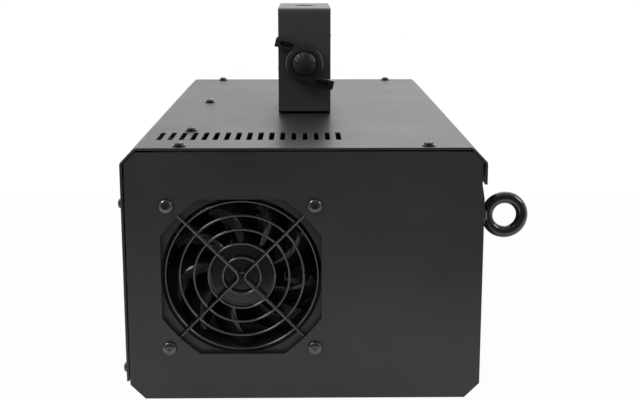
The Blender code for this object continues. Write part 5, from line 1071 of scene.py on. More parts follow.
# Turned free-cutting brass, warm and slightly tarnished.
brass = finish("turned_brass", "#C9A252", "#A8823A", 0.6, 7, 0.28, 0.07, 0.012, 1.0)
block_low, block_high = reach("heater_block")
nozzle_low, nozzle_high = reach("nozzle")
NOZZLE_BORE, NOZZLE_CUP = 0.0012, 0.0042
NOZZLE_STEM, NOZZLE_WAIST, NOZZLE_HEAD = 0.0040, 0.0046, 0.0070
NOZZLE_SHOULDER = 0.006
NOZZLE_CUP_DEPTH = 0.010
NOZZLE_CONE = 0.002
NOZZLE_GROOVE = 0.0006
nozzle_tip, nozzle_neck = nozzle_low.x, block_low.x - NOZZLE_SHOULDER
nozzle_head = -HALF - NOZZLE_SHOULDER
groove = (nozzle_head + nozzle_tip) / 2
profile = [(nozzle_high.x, NOZZLE_BORE), (nozzle_high.x, NOZZLE_STEM),
           (block_low.x - SEAT, NOZZLE_STEM), (block_low.x - SEAT, NOZZLE_HEAD),
           (nozzle_neck, NOZZLE_HEAD), (nozzle_neck, NOZZLE_WAIST), (nozzle_head, NOZZLE_WAIST),
           (nozzle_head, NOZZLE_HEAD - NOZZLE_GROOVE), (nozzle_head - NOZZLE_GROOVE, NOZZLE_HEAD),
           (groove + NOZZLE_GROOVE, NOZZLE_HEAD),
           (groove, NOZZLE_HEAD - NOZZLE_GROOVE), (groove - NOZZLE_GROOVE, NOZZLE_HEAD),
           (nozzle_tip + 0.0010, NOZZLE_HEAD), (nozzle_tip + 0.0003, NOZZLE_HEAD - 0.0005),
           (nozzle_tip, NOZZLE_HEAD - 0.0010), (nozzle_tip, NOZZLE_CUP + 0.0004),
           (nozzle_tip + 0.0004, NOZZLE_CUP), (nozzle_tip + NOZZLE_CUP_DEPTH, NOZZLE_CUP),
           (nozzle_tip + NOZZLE_CUP_DEPTH + NOZZLE_CONE, NOZZLE_BORE)]
nozzle = link_mesh("fog_nozzle", lathe("X", NOZZLE_MIDDLE.yz, profile, 72))
plant(nozzle, brass, replaces=["nozzle"])

PLATE_CORNER = 0.004
PLATE_SCREW_INSET = 0.006
plate_low, plate_high = reach("nozzle_plate")
nozzle_plate = link_mesh("nozzle_flange", faceplate("nozzle_plate", PLATE_CORNER,
                                                    plate_low.x, plate_high.x))
carve(nozzle_plate, [bar("X", NOZZLE_MIDDLE.yz, NOZZLE_HOLE,
                         plate_low.x - SHEET, plate_high.x + SHEET, 64)])
plant(nozzle_plate, powder_coat, replaces=["nozzle_plate"], edge=FINE_EDGE)
screw_set("nozzle_plate_screws", washer_pattern, "-X",
          [((plate_low.x - SEAT / 3, y, z), 90 * y + 40 * z)
           for y, z in inset_corners(plate_low, plate_high, PLATE_SCREW_INSET)])


# ==== Heater =================================================================================
# A sand-cast aluminium block with its element and fog coil cast in. It lies on a cradle welded
# to the floor, with a port for the fluid at one end, and a screwed plug at the other.
# Sand-cast aluminium: pale grey, grainy and dull.
cast = finish("sand_cast_aluminium", "#AEB0B2", "#8E9092", 0.8, 9, 0.48, 0.08, 0.08, 1.0)
# Zinc plate on folded or turned steel: bright grey with a faint bluish spangle.
zinc = finish("bright_zinc_plate", "#B4B8BC", "#9EA4AA", 0.7, 8, 0.30, 0.06, 0.01, 1.0)
PORT_RADIUS, PORT_REACH, PORT_RISE, PORT_SHIFT = 0.004, 0.009, 0.012, 0.010
HEATER_ROUND = 0.002
RIB_SIZE = 0.0016
near, far = block_low.y + PORT_REACH, block_high.y - PORT_REACH
HEATER_X = spot("heater_block").x
heater = link_mesh("heater_casting", slab((block_low.x, near, block_low.z),
                                          (block_high.x, far, block_high.z), HEATER_ROUND, 4))
carve(heater, [bar("X", NOZZLE_MIDDLE.yz, NOZZLE_STEM + SEAT,
                   block_low.x - SHEET, nozzle_high.x + SEAT)])
for side, start, end in ((-1, block_low.y, near + PORT_RADIUS), (1, far - PORT_RADIUS, block_high.y)):
    port = (HEATER_X + side * PORT_SHIFT, block_low.z + PORT_RISE)
    carve(heater, [bar("Y", port, PORT_RADIUS, start, end, 40)], "UNION")
for z in (block_low.z + PORT_RISE * 2, block_low.z + PORT_RISE * 3):
    rib = slab((HEATER_X - PORT_RISE, near - RIB_SIZE / 4, z),
               (HEATER_X + PORT_RISE, near + RIB_SIZE, z + RIB_SIZE))
    carve(heater, [rib], "UNION")
plant(heater, cast, replaces=["heater_block"], edge=FINE_EDGE)


# ==== Insulation =============================================================================
# Pressed mineral wool wraps the block on three sides. It is cut by hand, so its faces are
# ragged, and two thin steel bands hold it.
# Basalt wool: greyish brown fibre with no shine.
wool_fibre = finish("basalt_wool_fibre", "#6E685A", "#524D42", 0.9, 6, 0.95, 0.03, 0.5,
                    Sheen_Weight=0.3)
WOOL = 0.008
WOOL_GRAIN = 0.0035
WOOL_RAG = 0.0011
WOOL_VOXEL = 0.0013
WOOL_CLEAR = 0.001
BAND_WIDTH, BAND_SHEET, BAND_INSET, BAND_BEND = 0.008, 0.0004, 0.017, 0.003
THERMOSTAT = spot("thermostat")
can_low, can_high = reach("thermostat")
THERMOSTAT_RADIUS = (can_high.x - can_low.x) / 2
wool_low, wool_high = reach("heater_insulation")
over_block = [(wool_low.x, wool_low.z), (wool_low.x, wool_high.z), (wool_high.x, wool_high.z),
              (wool_high.x, wool_low.z)]
under_wool = [(wool_high.x - WOOL, wool_low.z), (wool_high.x - WOOL, wool_high.z - WOOL),
              (wool_low.x + WOOL, wool_high.z - WOOL), (wool_low.x + WOOL, wool_low.z)]
wool = link_mesh("heater_wool", prism("Y", over_block + under_wool, wool_low.y, wool_high.y))
carve(wool, [bar("X", NOZZLE_MIDDLE.yz, NOZZLE_HEAD + WOOL_CLEAR,
                 wool_low.x - SHEET, wool_low.x + WOOL + SHEET),
             bar("Z", THERMOSTAT.xy, THERMOSTAT_RADIUS + WOOL_CLEAR,
                 wool_high.z - WOOL - SHEET, wool_high.z + SHEET)])
fibre = wool.modifiers.new("fibre", "REMESH")
fibre.mode = "VOXEL"
fibre.voxel_size = WOOL_VOXEL
baked(wool)
for vert in wool.data.vertices:
    rag = noise.noise(vert.co / WOOL_GRAIN) + 0.5 * noise.noise(vert.co / WOOL_GRAIN * 3)
    vert.co -= vert.normal * WOOL_RAG * (0.5 + 0.5 * rag)
plant(wool, wool_fibre, replaces=["heater_insulation"], smooth=80)
for name, y in (("wool_band_near", wool_low.y + BAND_INSET / 2),
                ("wool_band_far", wool_high.y - BAND_INSET)):
    plant(fold(name, "Y", over_block, -BAND_SHEET, BAND_BEND, y, y + BAND_WIDTH), zinc)


# ==== Thermostat =============================================================================
# A bimetal thermostat in a pressed steel can is clamped to the top of the block. Two flat tabs
# carry its leads, on a disc of black phenolic.
# Moulded black polyamide with a fine spark-eroded texture.
matt_plastic = finish("textured_black_polyamide", "#19191A", "#232324", 0.45, 10, 0.52, 0.04,
                      0.03)
TAB_HEIGHT, TAB_HALF, TAB_SHEET, TAB_SPREAD = 0.005, 0.003, 0.0008, 0.003
TAB_ROUND = 0.0002
CAN_BASE = 0.0040
disc_top = can_high.z - TAB_HEIGHT
waist = THERMOSTAT_RADIUS * 0.75
can = lathe("Z", THERMOSTAT.xy, [(can_low.z, 0), (can_low.z, THERMOSTAT_RADIUS - 0.0003),
                                 (can_low.z + 0.0003, THERMOSTAT_RADIUS),
                                 (can_low.z + CAN_BASE - 0.0004, THERMOSTAT_RADIUS),
                                 (can_low.z + CAN_BASE, THERMOSTAT_RADIUS - 0.0005),
                                 (can_low.z + CAN_BASE, waist), (disc_top - 0.003, waist),
                                 (disc_top - 0.003, 0)], 56)
plant(link_mesh("thermostat_can", can), zinc, replaces=["thermostat"])
disc = lathe("Z", THERMOSTAT.xy, [(disc_top - 0.0032, 0), (disc_top - 0.0032, waist * 0.96),
                                  (disc_top - 0.0006, waist * 0.96),
                                  (disc_top, waist * 0.88), (disc_top, 0)], 56)
plant(link_mesh("thermostat_disc", disc), matt_plastic)
for name, side in (("left", -1), ("right", 1)):
    x = THERMOSTAT.x + side * TAB_SPREAD
    tab = link_mesh("thermostat_tab_" + name,
                    slab((x - TAB_SHEET / 2, THERMOSTAT.y - TAB_HALF, disc_top - 0.002),
                         (x + TAB_SHEET / 2, THERMOSTAT.y + TAB_HALF, can_high.z), TAB_ROUND))
    carve(tab, [bar("X", (THERMOSTAT.y, can_high.z - 2 * TAB_SHEET), 0.0007, x - PAST, x + PAST, 16)])
    plant(tab, zinc)


# ==== Pump ===================================================================================
# A small oscillating pump: a brass tube with a barb at each end inside a moulded coil between
# two steel plates, which a folded bracket carries on the floor.
pump_low, pump_high = reach("pump_body")
coil_low, coil_high = reach("pump_coil")
PUMP = spot("pump_coil")
BARB_LENGTH, BARB_RADIUS, PUMP_EASE = 0.009, 0.0022, 0.0004
PUMP_RADIUS, PUMP_BORE, PUMP_WALL = 0.007, 0.0045, 0.004
near, far = pump_low.y + BARB_LENGTH, pump_high.y - BARB_LENGTH
BARBS = 3
BARB_ROOT = 0.80


def barb(start, end):
    """Profile of a hose barb from its tip to its root: three sawtooth ridges."""
    points = []
    step = (end - start) / (BARBS + 1)
    for number in range(BARBS):
        points += [(start + number * step, BARB_RADIUS * BARB_ROOT),
                   (start + (number + 0.9) * step, BARB_RADIUS)]
    return points + [(start + BARBS * step, BARB_RADIUS * BARB_ROOT),
                     (end, BARB_RADIUS * BARB_ROOT)]


def pump_hole():
    """Hole through the winding and its plates for the pump's tube."""
    return bar("Y", PUMP.xz, PUMP_RADIUS + SEAT, coil_low.y - SHEET, coil_high.y + SHEET, 56)


profile = barb(pump_low.y, near)
profile += [(near, PUMP_RADIUS - PUMP_EASE), (near + PUMP_EASE, PUMP_RADIUS),
            (far - PUMP_EASE, PUMP_RADIUS), (far, PUMP_RADIUS - PUMP_EASE)]
profile += barb(pump_high.y, far)[::-1]
profile += [(pump_high.y, NOZZLE_BORE), (far - PUMP_WALL, NOZZLE_BORE), (far - PUMP_WALL, PUMP_BORE),
            (near + PUMP_WALL, PUMP_BORE), (near + PUMP_WALL, NOZZLE_BORE), (pump_low.y, NOZZLE_BORE)]
plant(link_mesh("pump_tube", lathe("Y", PUMP.xz, profile, 56)), brass,
      replaces=["pump_body"])

COIL_PLATE = 0.0014
COIL_INSET = 0.001
COIL_ROUND = 0.002
COIL_TAB_INSET = 0.008
inset = Vector((COIL_INSET, COIL_PLATE, COIL_INSET))
coil = link_mesh("pump_winding", slab(coil_low + inset, coil_high - inset, COIL_ROUND, 4))
carve(coil, [pump_hole()])
plant(coil, matt_plastic, replaces=["pump_coil"])
outline = [point + PUMP.xz for point in
           rounded_rectangle(coil_high.x - coil_low.x, coil_high.z - coil_low.z, COIL_ROUND)]
for name, back in (("near", coil_low.y), ("far", coil_high.y - COIL_PLATE)):
    end_piece = link_mesh("pump_plate_" + name, prism("Y", outline, back, back + COIL_PLATE))
    carve(end_piece, [pump_hole()])
    plant(end_piece, zinc, edge=FINE_EDGE)
tab_y = coil_high.y - COIL_TAB_INSET
for name, side in (("left", -1), ("right", 1)):
    x = PUMP.x + side * TAB_SPREAD * 2
    tab = slab((x - TAB_HALF, tab_y, coil_high.z - 0.003),
               (x + TAB_HALF, tab_y + TAB_SHEET, coil_high.z + TAB_HEIGHT), TAB_ROUND)
    plant(link_mesh("coil_tab_" + name, tab), zinc)


# ==== Tubes ==================================================================================
# A bent copper tube takes the fluid from the pump to the block, and a clear plastic one draws
# it from the bottom of the tank through the cap. Both are pushed over their barbs.
# Drawn copper tube, dulled by heat.
copper = finish("drawn_copper", "#B87050", "#96543A", 0.9, 9, 0.34, 0.07, 0.01, 1.0)
# Clear silicone hose, faintly milky.
clear_hose = finish("clear_silicone", "#E6EAEA", "#D4DADA", 1.2, 9, 0.18, 0.04, 0.01,
                    Transmission_Weight=0.75, IOR=1.41)


def softened(name, node, levels=2):
    """Copy of a CAD piece whose facets are merged and rounded off."""
    mesh = bmesh.new()
    mesh.from_mesh(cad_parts[node].data)
    outward(mesh)
    bmesh.ops.translate(mesh, vec=-CASE_ORIGIN, verts=mesh.verts)
    item = link_mesh(name, mesh)
    softer = item.modifiers.new("round", "SUBSURF")
    softer.levels = softer.render_levels = levels
    return baked(item)


plant(softened("pressure_pipe", "pressure_tube"), copper,
      replaces=["pressure_tube"], smooth=60)
plant(softened("suction_hose", "suction_tube"), clear_hose,
      replaces=["suction_tube"], smooth=60)


# ==== Tank ===================================================================================
# A blow-moulded bottle of natural polyethylene behind the hatch, with a screwed neck and cap.
# Raised lines beside the level window mark how full it is.
# Natural polyethylene: milky, waxy and slightly translucent.
polyethylene = finish("natural_polyethylene_shell", "#DDE0DA", "#CDD2CC", 2.0, 30, 0.42, 0.05,
                      0.03, Transmission_Weight=0.25, IOR=1.5)
TANK = spot("tank")
TANK_ROUND = 0.006
TANK_WALL = 0.002
NECK_HEIGHT, NECK_RADIUS = 0.010, 0.013
NECK = Vector((spot("tank_cap").x, spot("tank_cap").y))
shoulder = tank_high.z - NECK_HEIGHT
tank = link_mesh("fluid_tank", slab(tank_low, (tank_high.x, tank_high.y, shoulder), TANK_ROUND, 6))
RIDGES, RIDGE_FIRST, RIDGE_PITCH, RIDGE_HALF = 3, 0.0022, 0.0026, 0.0005
neck_root = NECK_RADIUS - 0.0006
neck_profile = [(shoulder - TANK_WALL, 0), (shoulder - TANK_WALL, neck_root)]
for number in range(RIDGES):
    z = shoulder + RIDGE_FIRST + number * RIDGE_PITCH
    neck_profile += [(z - RIDGE_HALF, neck_root), (z, NECK_RADIUS), (z + RIDGE_HALF, neck_root)]
neck_profile += [(tank_high.z, neck_root), (tank_high.z, 0)]
carve(tank, [lathe("Z", NECK, neck_profile, 56)], "UNION")
MARKS, MARK_FIRST, MARK_PITCH = 5, 0.014, 0.011
MARK_HALF, MARK_MORE, MARK_PROUD = 0.003, 0.001, 0.0003
marks = []
for number in range(MARKS):
    z = tank_low.z + MARK_FIRST + number * MARK_PITCH
    half = MARK_HALF + MARK_MORE * (number % 2)
    marks.append(slab((tank_high.x - TANK_WALL, TANK.y - half, z - MARK_PROUD),
                      (tank_high.x + MARK_PROUD, TANK.y + half, z + MARK_PROUD)))
carve(tank, marks, "UNION")
wall = Vector((TANK_WALL, TANK_WALL, TANK_WALL))
carve(tank, [slab(tank_low + wall, Vector((tank_high.x, tank_high.y, shoulder)) - wall,
                  TANK_ROUND - TANK_WALL, 4)])
carve(tank, [bar("Z", NECK, NECK_RADIUS - TANK_WALL, shoulder - 2 * TANK_WALL, tank_high.z + SHEET, 56)])
plant(tank, polyethylene, replaces=["tank"], smooth=40)


# ==== Tank cap ===============================================================================
# A moulded screw cap with grip ribs round its skirt. The suction hose passes through a hole in
# its top.
cap_low, cap_high = reach("tank_cap")
TANK_CAP_RADIUS = (cap_high.x - cap_low.x) / 2
CAP_RIBS, RIB_DEPTH, CAP_ROUND = 36, 0.0006, 0.0012
HOSE_HOLE = 0.0028
profile = [(cap_low.z, NECK_RADIUS + SEAT), (cap_low.z, TANK_CAP_RADIUS - 0.0003),
           (cap_low.z + 0.0003, TANK_CAP_RADIUS), (cap_high.z - CAP_ROUND, TANK_CAP_RADIUS),
           (cap_high.z - CAP_ROUND * 0.3, TANK_CAP_RADIUS - CAP_ROUND * 0.3),
           (cap_high.z, TANK_CAP_RADIUS - CAP_ROUND), (cap_high.z, HOSE_HOLE),
           (tank_high.z + SEAT, HOSE_HOLE), (tank_high.z + SEAT, NECK_RADIUS + SEAT)]
screw_cap = lathe("Z", NECK, profile, CAP_RIBS * 6)
for vert in screw_cap.verts:
    spoke = vert.co.xy - NECK
    if spoke.length > TANK_CAP_RADIUS - CAP_ROUND / 2:
        wave = 0.5 - 0.5 * math.cos(CAP_RIBS * math.atan2(spoke.y, spoke.x))
        vert.co.xy = NECK + spoke * (1 - RIB_DEPTH * wave ** 2 / TANK_CAP_RADIUS)
plant(link_mesh("screw_cap", screw_cap), matt_plastic, "tank_cap",
      ["tank_cap"])


# ==== Hatch door =============================================================================
# A powder-coated plate closes the tank's hatch. It swings on a pin hinge, has a folded pull
# along its free edge, and a magnet behind that edge holds it shut.
PULL_HALF = 0.012
PULL_ROUND = 0.004
KNUCKLE, PIN, KNUCKLE_GAP = 0.0024, 0.001, 0.0006
door_low, door_high = reach("tank_door")
hinge_x = hinge_high.x - KNUCKLE
hinge_y = hinge_high.y - KNUCKLE
door_left = hinge_high.x + SEAT
door_out = door_low.y + SHEET
span = (door_high.z - door_low.z - 2 * KNUCKLE_GAP) / 3
knuckle_low = door_low.z + span + KNUCKLE_GAP
door = link_mesh("hatch_door", slab((door_left, door_low.y, door_low.z),
                                    (door_high.x, door_out, door_high.z)))
outline = [point + spot("tank_door").yz
           for point in rounded_rectangle(door_high.y - door_low.y, 2 * PULL_HALF, PULL_ROUND)]
carve(door, [prism("X", outline, door_high.x - SHEET, door_high.x - FLUSH)], "UNION")
knuckle_high = knuckle_low + span
barrel = lathe("Z", (hinge_x, hinge_y), [(knuckle_low, PIN + SEAT), (knuckle_low, KNUCKLE),
                                         (knuckle_high, KNUCKLE), (knuckle_high, PIN + SEAT)], 40)
wrap = slab((hinge_x + PIN + SEAT + FLUSH, door_low.y + FLUSH, knuckle_low + FLUSH),
            (door_left + SHEET, door_out - FLUSH, knuckle_high - FLUSH))
carve(door, [wrap], "UNION")
carve(door, [barrel], "UNION")
plant(door, powder_coat, "tank_door", ["tank_door"], edge=FINE_EDGE)

leaf = link_mesh("hinge_leaf", slab((hinge_low.x, hinge_low.y, hinge_low.z),
                                    (hinge_x - PIN - 2 * SEAT, hinge_low.y + SHEET, hinge_high.z)))
gap_low, gap_high = knuckle_low - KNUCKLE_GAP, knuckle_high + KNUCKLE_GAP
carve(leaf, [slab((hinge_x - KNUCKLE - KNUCKLE_GAP, hinge_low.y - SHEET, gap_low),
                  (hinge_x, hinge_low.y + 2 * SHEET, gap_high))])
carve(leaf, [bar("Z", (hinge_x, hinge_y), KNUCKLE, start, end, 40)
             for start, end in ((hinge_low.z + FLUSH, gap_low), (gap_high, hinge_high.z - FLUSH))],
      "UNION")
carve(leaf, [bar("Z", (hinge_x, hinge_y), PIN, hinge_low.z + PIN, hinge_high.z - PIN, 24)], "UNION")
plant(leaf, zinc, replaces=["door_hinge"], edge=FLUSH)
HINGE_SCREWS = 3
HINGE_SCREW_INSET = 0.0045
screw_set("hinge_screws", small_pattern, "+Y",
          [((hinge_low.x + HINGE_SCREW_INSET, hinge_low.y + SHEET + SEAT / 6,
             hinge_low.z + span * (number + 0.5)), number) for number in range(HINGE_SCREWS)],
          zinc)

magnet_low, magnet_high = reach("door_magnet")
POLE_PROUD, POLE_INSET, POLE_HALF = 0.0008, 0.006, 0.002
catch = slab(magnet_low, (magnet_high.x, magnet_high.y - POLE_PROUD, magnet_high.z), 0.0006, 3)
plant(link_mesh("magnet_case", catch), matt_plastic, replaces=["door_magnet"])
for number, z in enumerate((magnet_low.z + POLE_INSET, magnet_high.z - POLE_INSET)):
    pole = slab((magnet_low.x + POLE_HALF / 2, magnet_high.y - POLE_HALF, z - POLE_HALF),
                (magnet_high.x - POLE_HALF / 2, magnet_high.y, z + POLE_HALF), 0.0002)
    plant(link_mesh("magnet_pole_%d" % (number + 1), pole), zinc)


# ==== Control panel ==========================================================================
# A moulded plate on the control side carries a smoked display window and four push buttons.
# Four small screws hold it, and a circuit board stands on posts behind it.
panel_low, panel_high = reach("control_panel")
PANEL = spot("control_panel")
PANEL_CORNER = 0.003
window_low, window_high = reach("display_window")
WINDOW_RIM = 0.002
BUTTONS = ["menu_button_%d" % number for number in (1, 2, 3, 4)]
BUTTON_HOLE = 0.00405
PANEL_SCREW_INSET = 0.0035
panel = link_mesh("control_plate", faceplate("control_panel", PANEL_CORNER, panel_low.x, panel_high.x))
opening = slab((panel_low.x - SHEET, window_low.y + WINDOW_RIM, window_low.z + WINDOW_RIM),
               (panel_high.x + SHEET, window_high.y - WINDOW_RIM, window_high.z - WINDOW_RIM))
carve(panel, [opening] + [bar("X", spot(node).yz, BUTTON_HOLE, panel_low.x - SHEET,
                              panel_high.x + SHEET, 32) for node in BUTTONS])
plant(panel, matt_plastic, replaces=["control_panel"], edge=SOFT_EDGE)
screw_set("control_plate_screws", small_pattern, "+X",
          [((panel_high.x + SEAT / 6, y, z), 50 * y + 30 * z)
           for y, z in inset_corners(panel_low, panel_high, PANEL_SCREW_INSET)])

# Smoked acrylic, polished: the display behind it shows only as a darker field.
smoked = finish("smoked_acrylic", "#20282A", "#1A2022", 3.0, 20, 0.08, 0.02, 0.002,
                Transmission_Weight=0.5, IOR=1.49)
pane_back = panel_low.x - SEAT
pane = slab((window_low.x, window_low.y, window_low.z), (pane_back, window_high.y, window_high.z))
window = link_mesh("display_pane", pane)
step_in = WINDOW_RIM + SEAT
carve(window, [slab((window_low.x + FINE_EDGE, window_low.y + step_in, window_low.z + step_in),
                    (window_high.x, window_high.y - step_in, window_high.z - step_in))], "UNION")
plant(window, smoked, replaces=["display_window"], edge=FINE_EDGE)

# Grey ABS keys, satin and slightly dished.
grey_key = finish("satin_grey_abs", "#8F9092", "#A3A4A6", 0.5, 8, 0.45, 0.05, 0.02)
pale_ink = finish("white_pad_print", "#E4E4E0", "#D4D4D0", 0.3, 4, 0.6, 0.05, 0.004)
BUTTON_RADIUS, BUTTON_STEM, BUTTON_LIP, BUTTON_FLANGE = 0.0036, 0.0015, 0.001, 0.0015
KEY_DISH = 0.0003
for number, node in enumerate(BUTTONS):
    low, high = reach(node)
    flange = pane_back - BUTTON_FLANGE
    profile = [(low.x, 0), (low.x, BUTTON_STEM), (flange, BUTTON_STEM),
               (flange, BUTTON_RADIUS + BUTTON_LIP), (pane_back, BUTTON_RADIUS + BUTTON_LIP),
               (pane_back, BUTTON_RADIUS), (high.x - 0.0006, BUTTON_RADIUS),
               (high.x - 0.0002, BUTTON_RADIUS - 0.0003), (high.x, BUTTON_RADIUS - 0.0007),
               (high.x - KEY_DISH * 0.8, BUTTON_RADIUS * 0.4), (high.x - KEY_DISH, 0)]
    key = lathe("X", spot(node).yz, profile, 48)
    plant(link_mesh("key_%d" % (number + 1), key), grey_key, node, [node])
ARROW = 0.0011
ARROW_RISE = 0.0058
INK = 0.00006
for number, turn in enumerate((math.pi, math.pi / 2, -math.pi / 2, 0)):
    middle = spot(BUTTONS[number]).yz + Vector((0, ARROW_RISE))
    outline = [middle + ARROW * Vector((math.cos(turn + corner * math.tau / 3),
                                        math.sin(turn + corner * math.tau / 3))) for corner in range(3)]
    arrow = prism("X", outline, panel_high.x, panel_high.x + INK)
    plant(link_mesh("key_mark_%d" % (number + 1), arrow), pale_ink)


# ==== Circuit board ==========================================================================
# A fibreglass board with a green solder mask, four posts to the wall, a display module, push
# switches behind the keys, and a relay, capacitors and a processor on its inner face.
solder_mask = finish("green_solder_mask", "#0F5A36", "#0B4A2C", 0.7, 6, 0.32, 0.05, 0.02)
board_low, board_high = reach("control_board")
BOARD_SHEET, TACT_HALF, TACT_HEIGHT = 0.0016, 0.003, 0.0025
POST_INSET, POST_RADIUS, POST_HOLE = 0.0024, 0.0018, 0.0016
board_face = board_low.x + BOARD_SHEET
board = link_mesh("circuit_board", faceplate("control_panel", 0.0015, board_low.x, board_face))
post_places = inset_corners(panel_low, panel_high, POST_INSET)
carve(board, [bar("X", place, POST_HOLE, board_low.x - SHEET, board_face + SHEET, 24)
              for place in post_places])
plant(board, solder_mask, replaces=["control_board"], edge=0.0001)
posts = [bar("X", place, POST_RADIUS, board_face, board_high.x, 6) for place in post_places]
plant(link_mesh("board_posts", gathered(posts)), zinc, edge=0.0001)
step_in = WINDOW_RIM - 2 * SEAT
module = slab((board_face, window_low.y + step_in, window_low.z + step_in),
              (window_low.x - SEAT, window_high.y - step_in, window_high.z - step_in), SOFT_EDGE)
plant(link_mesh("display_module", module), matt_plastic)
tacts = [slab((board_face, spot(node).y - TACT_HALF, spot(node).z - TACT_HALF),
              (board_face + TACT_HEIGHT, spot(node).y + TACT_HALF, spot(node).z + TACT_HALF), 0.0003)
         for node in BUTTONS]
plant(link_mesh("push_switches", gathered(tacts)), matt_plastic)
relay = slab((board_low.x - 0.015, PANEL.y + 0.010, PANEL.z - 0.016),
             (board_low.x - FLUSH, PANEL.y + 0.029, PANEL.z - 0.001), 0.0006)
processor = slab((board_low.x - 0.0022, PANEL.y - 0.012, PANEL.z - 0.006),
                 (board_low.x - FLUSH, PANEL.y, PANEL.z + 0.006), 0.0003)
header = slab((board_low.x - 0.008, PANEL.y - 0.031, PANEL.z - 0.014),
              (board_low.x - FLUSH, PANEL.y - 0.025, PANEL.z + 0.012), 0.0004)
components = link_mesh("board_components", gathered([relay, processor, header]))
plant(components, matt_plastic)
CAPACITORS = 3
CAPACITOR_RADIUS, CAPACITOR_HEIGHT = 0.004, 0.011
cans = []
for number in range(CAPACITORS):
    place = (PANEL.y + 0.012 + number * 0.009, PANEL.z + 0.011)
    cans.append(lathe("X", place, [(board_low.x - FLUSH, 0), (board_low.x - FLUSH, CAPACITOR_RADIUS),
                                   (board_low.x - CAPACITOR_HEIGHT + 0.0006, CAPACITOR_RADIUS),
                                   (board_low.x - CAPACITOR_HEIGHT, CAPACITOR_RADIUS - 0.0006),
                                   (board_low.x - CAPACITOR_HEIGHT, 0)], 32))
plant(link_mesh("board_capacitors", gathered(cans)), zinc)


# ==== Power switch ===========================================================================
# A moulded rocker switch snaps into the wall. Its rocker carries the usual line and ring.
switch_low, switch_high = reach("switch_housing")
SWITCH = spot("switch_housing")
BEZEL = 0.0018
SWITCH_CORNER, SWITCH_BACK_CORNER, SWITCH_SHRINK = 0.0012, 0.0005, 0.0046
ROCKER_REACH, ROCKER_RISE, ROCKER_CROWN, ROCKER_CURVE = 0.0086, 0.0026, 0.0005, 1.6
ROCKER_EDGE, ROCKER_DEPTH, ROCKER_FOOT, ROCKER_PLAY = 0.0025, 0.0060, 0.0030, 0.0007
ROCKER_TIP = math.radians(12)
ROCKER_TILT = Matrix.Rotation(ROCKER_TIP, 2)
ROCKER_STEPS = 10
rocker_low, rocker_high = reach("switch_rocker")
bezel_back = switch_high.x - BEZEL
housing = link_mesh("switch_case", faceplate("switch_housing", SWITCH_CORNER, bezel_back,
                                             switch_high.x))
carve(housing, [faceplate("switch_housing", SWITCH_BACK_CORNER, switch_low.x,
                          bezel_back + BEZEL / 2, SWITCH_SHRINK)], "UNION")
pocket_half = math.hypot(ROCKER_REACH, ROCKER_RISE) + ROCKER_PLAY
carve(housing, [slab((switch_high.x - ROCKER_REACH, rocker_low.y - SEAT, SWITCH.z - pocket_half),
                     (switch_high.x + BEZEL, rocker_high.y + SEAT, SWITCH.z + pocket_half))])
plant(housing, matt_plastic, replaces=["switch_housing"], edge=SOFT_EDGE)
pivot = Vector((switch_high.x - 0.0006, SWITCH.z))


def rocker_point(x, z):
    """Point of the rocker, tipped to OFF, from its place before it is tipped."""
    return pivot + ROCKER_TILT @ Vector((x, z))


def rocker_face(share):
    """Height of the rocker's dished face at a share of its reach."""
    return ROCKER_CROWN + (ROCKER_RISE - ROCKER_CROWN) * abs(share) ** ROCKER_CURVE


outline = []
for step in range(ROCKER_STEPS + 1):
    share = 2 * step / ROCKER_STEPS - 1
    outline.append(rocker_point(rocker_face(share), -ROCKER_REACH * share))
outline += [rocker_point(-ROCKER_EDGE, -ROCKER_REACH), rocker_point(-ROCKER_DEPTH, -ROCKER_FOOT),
            rocker_point(-ROCKER_DEPTH, ROCKER_FOOT), rocker_point(-ROCKER_EDGE, ROCKER_REACH)]
rocker = link_mesh("rocker", prism("Y", outline, rocker_low.y, rocker_high.y))
plant(rocker, gloss_plastic, "rocker", ["switch_rocker"], edge=SOFT_EDGE)
MARK_PLACE, MARK_STROKE, MARK_REACH, MARK_CIRCLE = 0.0055, 0.0002, 0.0012, 0.0011
MARK_FLAT = 0.3
line = slab((-INK, -MARK_STROKE, -MARK_REACH), (INK, MARK_STROKE, MARK_REACH))
circle = ring("X", (0, 0, 0), MARK_CIRCLE, MARK_STROKE, 32, 8)
bmesh.ops.scale(circle, vec=(MARK_FLAT, 1, 1), verts=circle.verts)
for name, mark, side in (("mark_on", line, 1), ("mark_off", circle, -1)):
    share = MARK_PLACE / ROCKER_REACH
    slope = math.atan((ROCKER_RISE - ROCKER_CROWN) * ROCKER_CURVE * share ** (ROCKER_CURVE - 1)
                      / ROCKER_REACH)
    place = rocker_point(rocker_face(share), side * MARK_PLACE)
    bmesh.ops.rotate(mark, cent=(0, 0, 0), verts=mark.verts,
                     matrix=Matrix.Rotation(side * slope - ROCKER_TIP, 3, "Y"))
    bmesh.ops.translate(mark, vec=(place.x, SWITCH.y, place.y), verts=mark.verts)
    plant(link_mesh(name, mark), pale_ink, "rocker")


